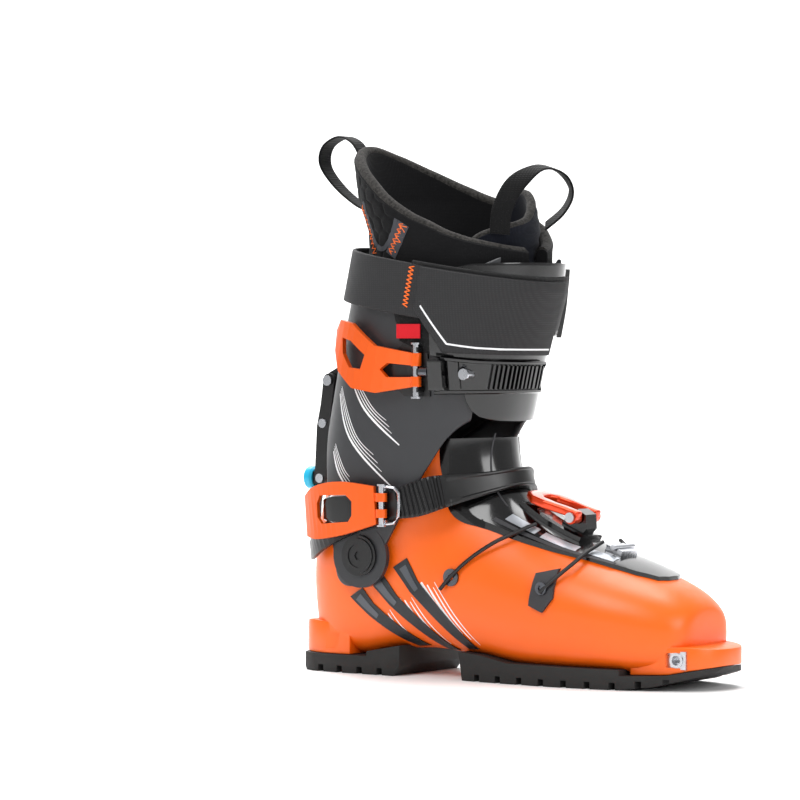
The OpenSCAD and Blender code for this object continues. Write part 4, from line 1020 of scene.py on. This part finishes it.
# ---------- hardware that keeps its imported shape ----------
paint("silver", "toe_tech_insert", "heel_tech_insert", "heel_insert_screw", "tongue_guide",
      "forefoot_lever_pin",
      "ankle_bail", "ankle_lever_pin", "pivot_bolts",
      "strap_mount_screw", "cuff_lever_pin", "cuff_strap_rivet", "bracket_screw", "bracket_pin",
      "walk_bar_pins")
paint("dark_steel", "adjuster_barrel", "adjuster_rod", "rear_cable_rivet", "anchor_screw",
      "ankle_strap_rivet")
paint("gloss", "strap_ring", "forefoot_buckle_base")
paint("black", "ankle_buckle_base", "pivot_caps", "strap_mount", "cuff_buckle_base", "walk_bracket",
      "walk_bar",
      "walk_lever")
paint("anodised", "cuff_buckle_lever", "ankle_buckle_lever")
paint("panel", "front_cable_anchor")
paint("cyan", "walk_knob")
paint("red", "strap_tag")


# ---------- floor, light and camera ----------
VIEW_AZIMUTH = 32.5


def studio():
    """A pale floor that curves up into a backdrop, and soft light from large lamps."""
    az = radians(VIEW_AZIMUTH)
    along, across = Vector((-sin(az), cos(az), 0)), Vector((cos(az), sin(az), 0))
    profile = [(-4200, 0), (1300, 0)] + [(1300 + 500 * sin(radians(k)), 500 - 500 * cos(radians(k)))
                                         for k in range(6, 91, 6)] + [(1800, 2600)]
    points = [along * d + across * side + Vector((148, 0, h)) for d, h in profile for side in (-3500, 3500)]
    floor = mesh("floor", points, [(2 * i, 2 * i + 1, 2 * i + 3, 2 * i + 2)
                                   for i in range(len(profile) - 1)], 60)
    ground = bpy.data.materials.new("floor_paint")
    ground.use_nodes = True
    ground.node_tree.nodes["Principled BSDF"].inputs["Base Color"].default_value = (0.9, 0.9, 0.9, 1)
    ground.node_tree.nodes["Principled BSDF"].inputs["Roughness"].default_value = 0.8
    ground.node_tree.nodes["Principled BSDF"].inputs["Specular IOR Level"].default_value = 0.1
    floor.data.materials.append(ground)
    world = bpy.data.worlds.new("studio")
    world.use_nodes = True
    world.node_tree.nodes["Background"].inputs["Color"].default_value = (1, 1, 1, 1)
    world.node_tree.nodes["Background"].inputs["Strength"].default_value = 0.42
    bpy.context.scene.world = world
    wall = along * 1.4 + Vector((0, 0, 0.5))
    for name, spot, aim, size, watts in (
            ("key", Vector((-0.1, -1.5, 1.7)), Vector((0, 0, 0.12)), 1.1, 25),
            ("side", Vector((1.9, -0.4, 0.9)), Vector((0, 0, 0.15)), 0.9, 14),
            ("back", Vector((-1.3, 0.6, 1.2)), Vector((0, 0, 0.2)), 0.8, 12),
            ("backdrop", along * 0.7 + Vector((0, 0, 2.2)), wall, 1.6, 60)):
        lamp = bpy.data.lights.new(name, "AREA")
        lamp.size, lamp.energy = size, watts
        light = bpy.data.objects.new(name, lamp)
        light.location = spot
        light.rotation_euler = (aim - spot).to_track_quat("-Z", "Y").to_euler()
        bpy.context.scene.collection.objects.link(light)


def photo_camera():
    """The camera three quarters to the front of the outer side, a little above the floor."""
    az, el, away = radians(VIEW_AZIMUTH), radians(1.2), 2.4
    aside, raised = 0.0727, 0.0113
    back = Vector((sin(az) * cos(el), -cos(az) * cos(el), sin(el)))
    right = Vector((cos(az), sin(az), 0))
    middle = Vector((0.002, 0, 0.165))
    spot = middle + back * away
    aim = middle - right * aside + back.cross(right) * raised
    lens = bpy.data.cameras.new("camera")
    lens.lens, lens.sensor_width, lens.clip_end = 169.9, 36, 20
    camera = bpy.data.objects.new("camera", lens)
    camera.location = spot
    camera.rotation_euler = (aim - spot).to_track_quat("-Z", "Y").to_euler()
    bpy.context.scene.collection.objects.link(camera)
    bpy.context.scene.camera = camera


studio()
photo_camera()
bpy.context.scene.view_settings.view_transform = "Standard"
bpy.context.view_layer.update()
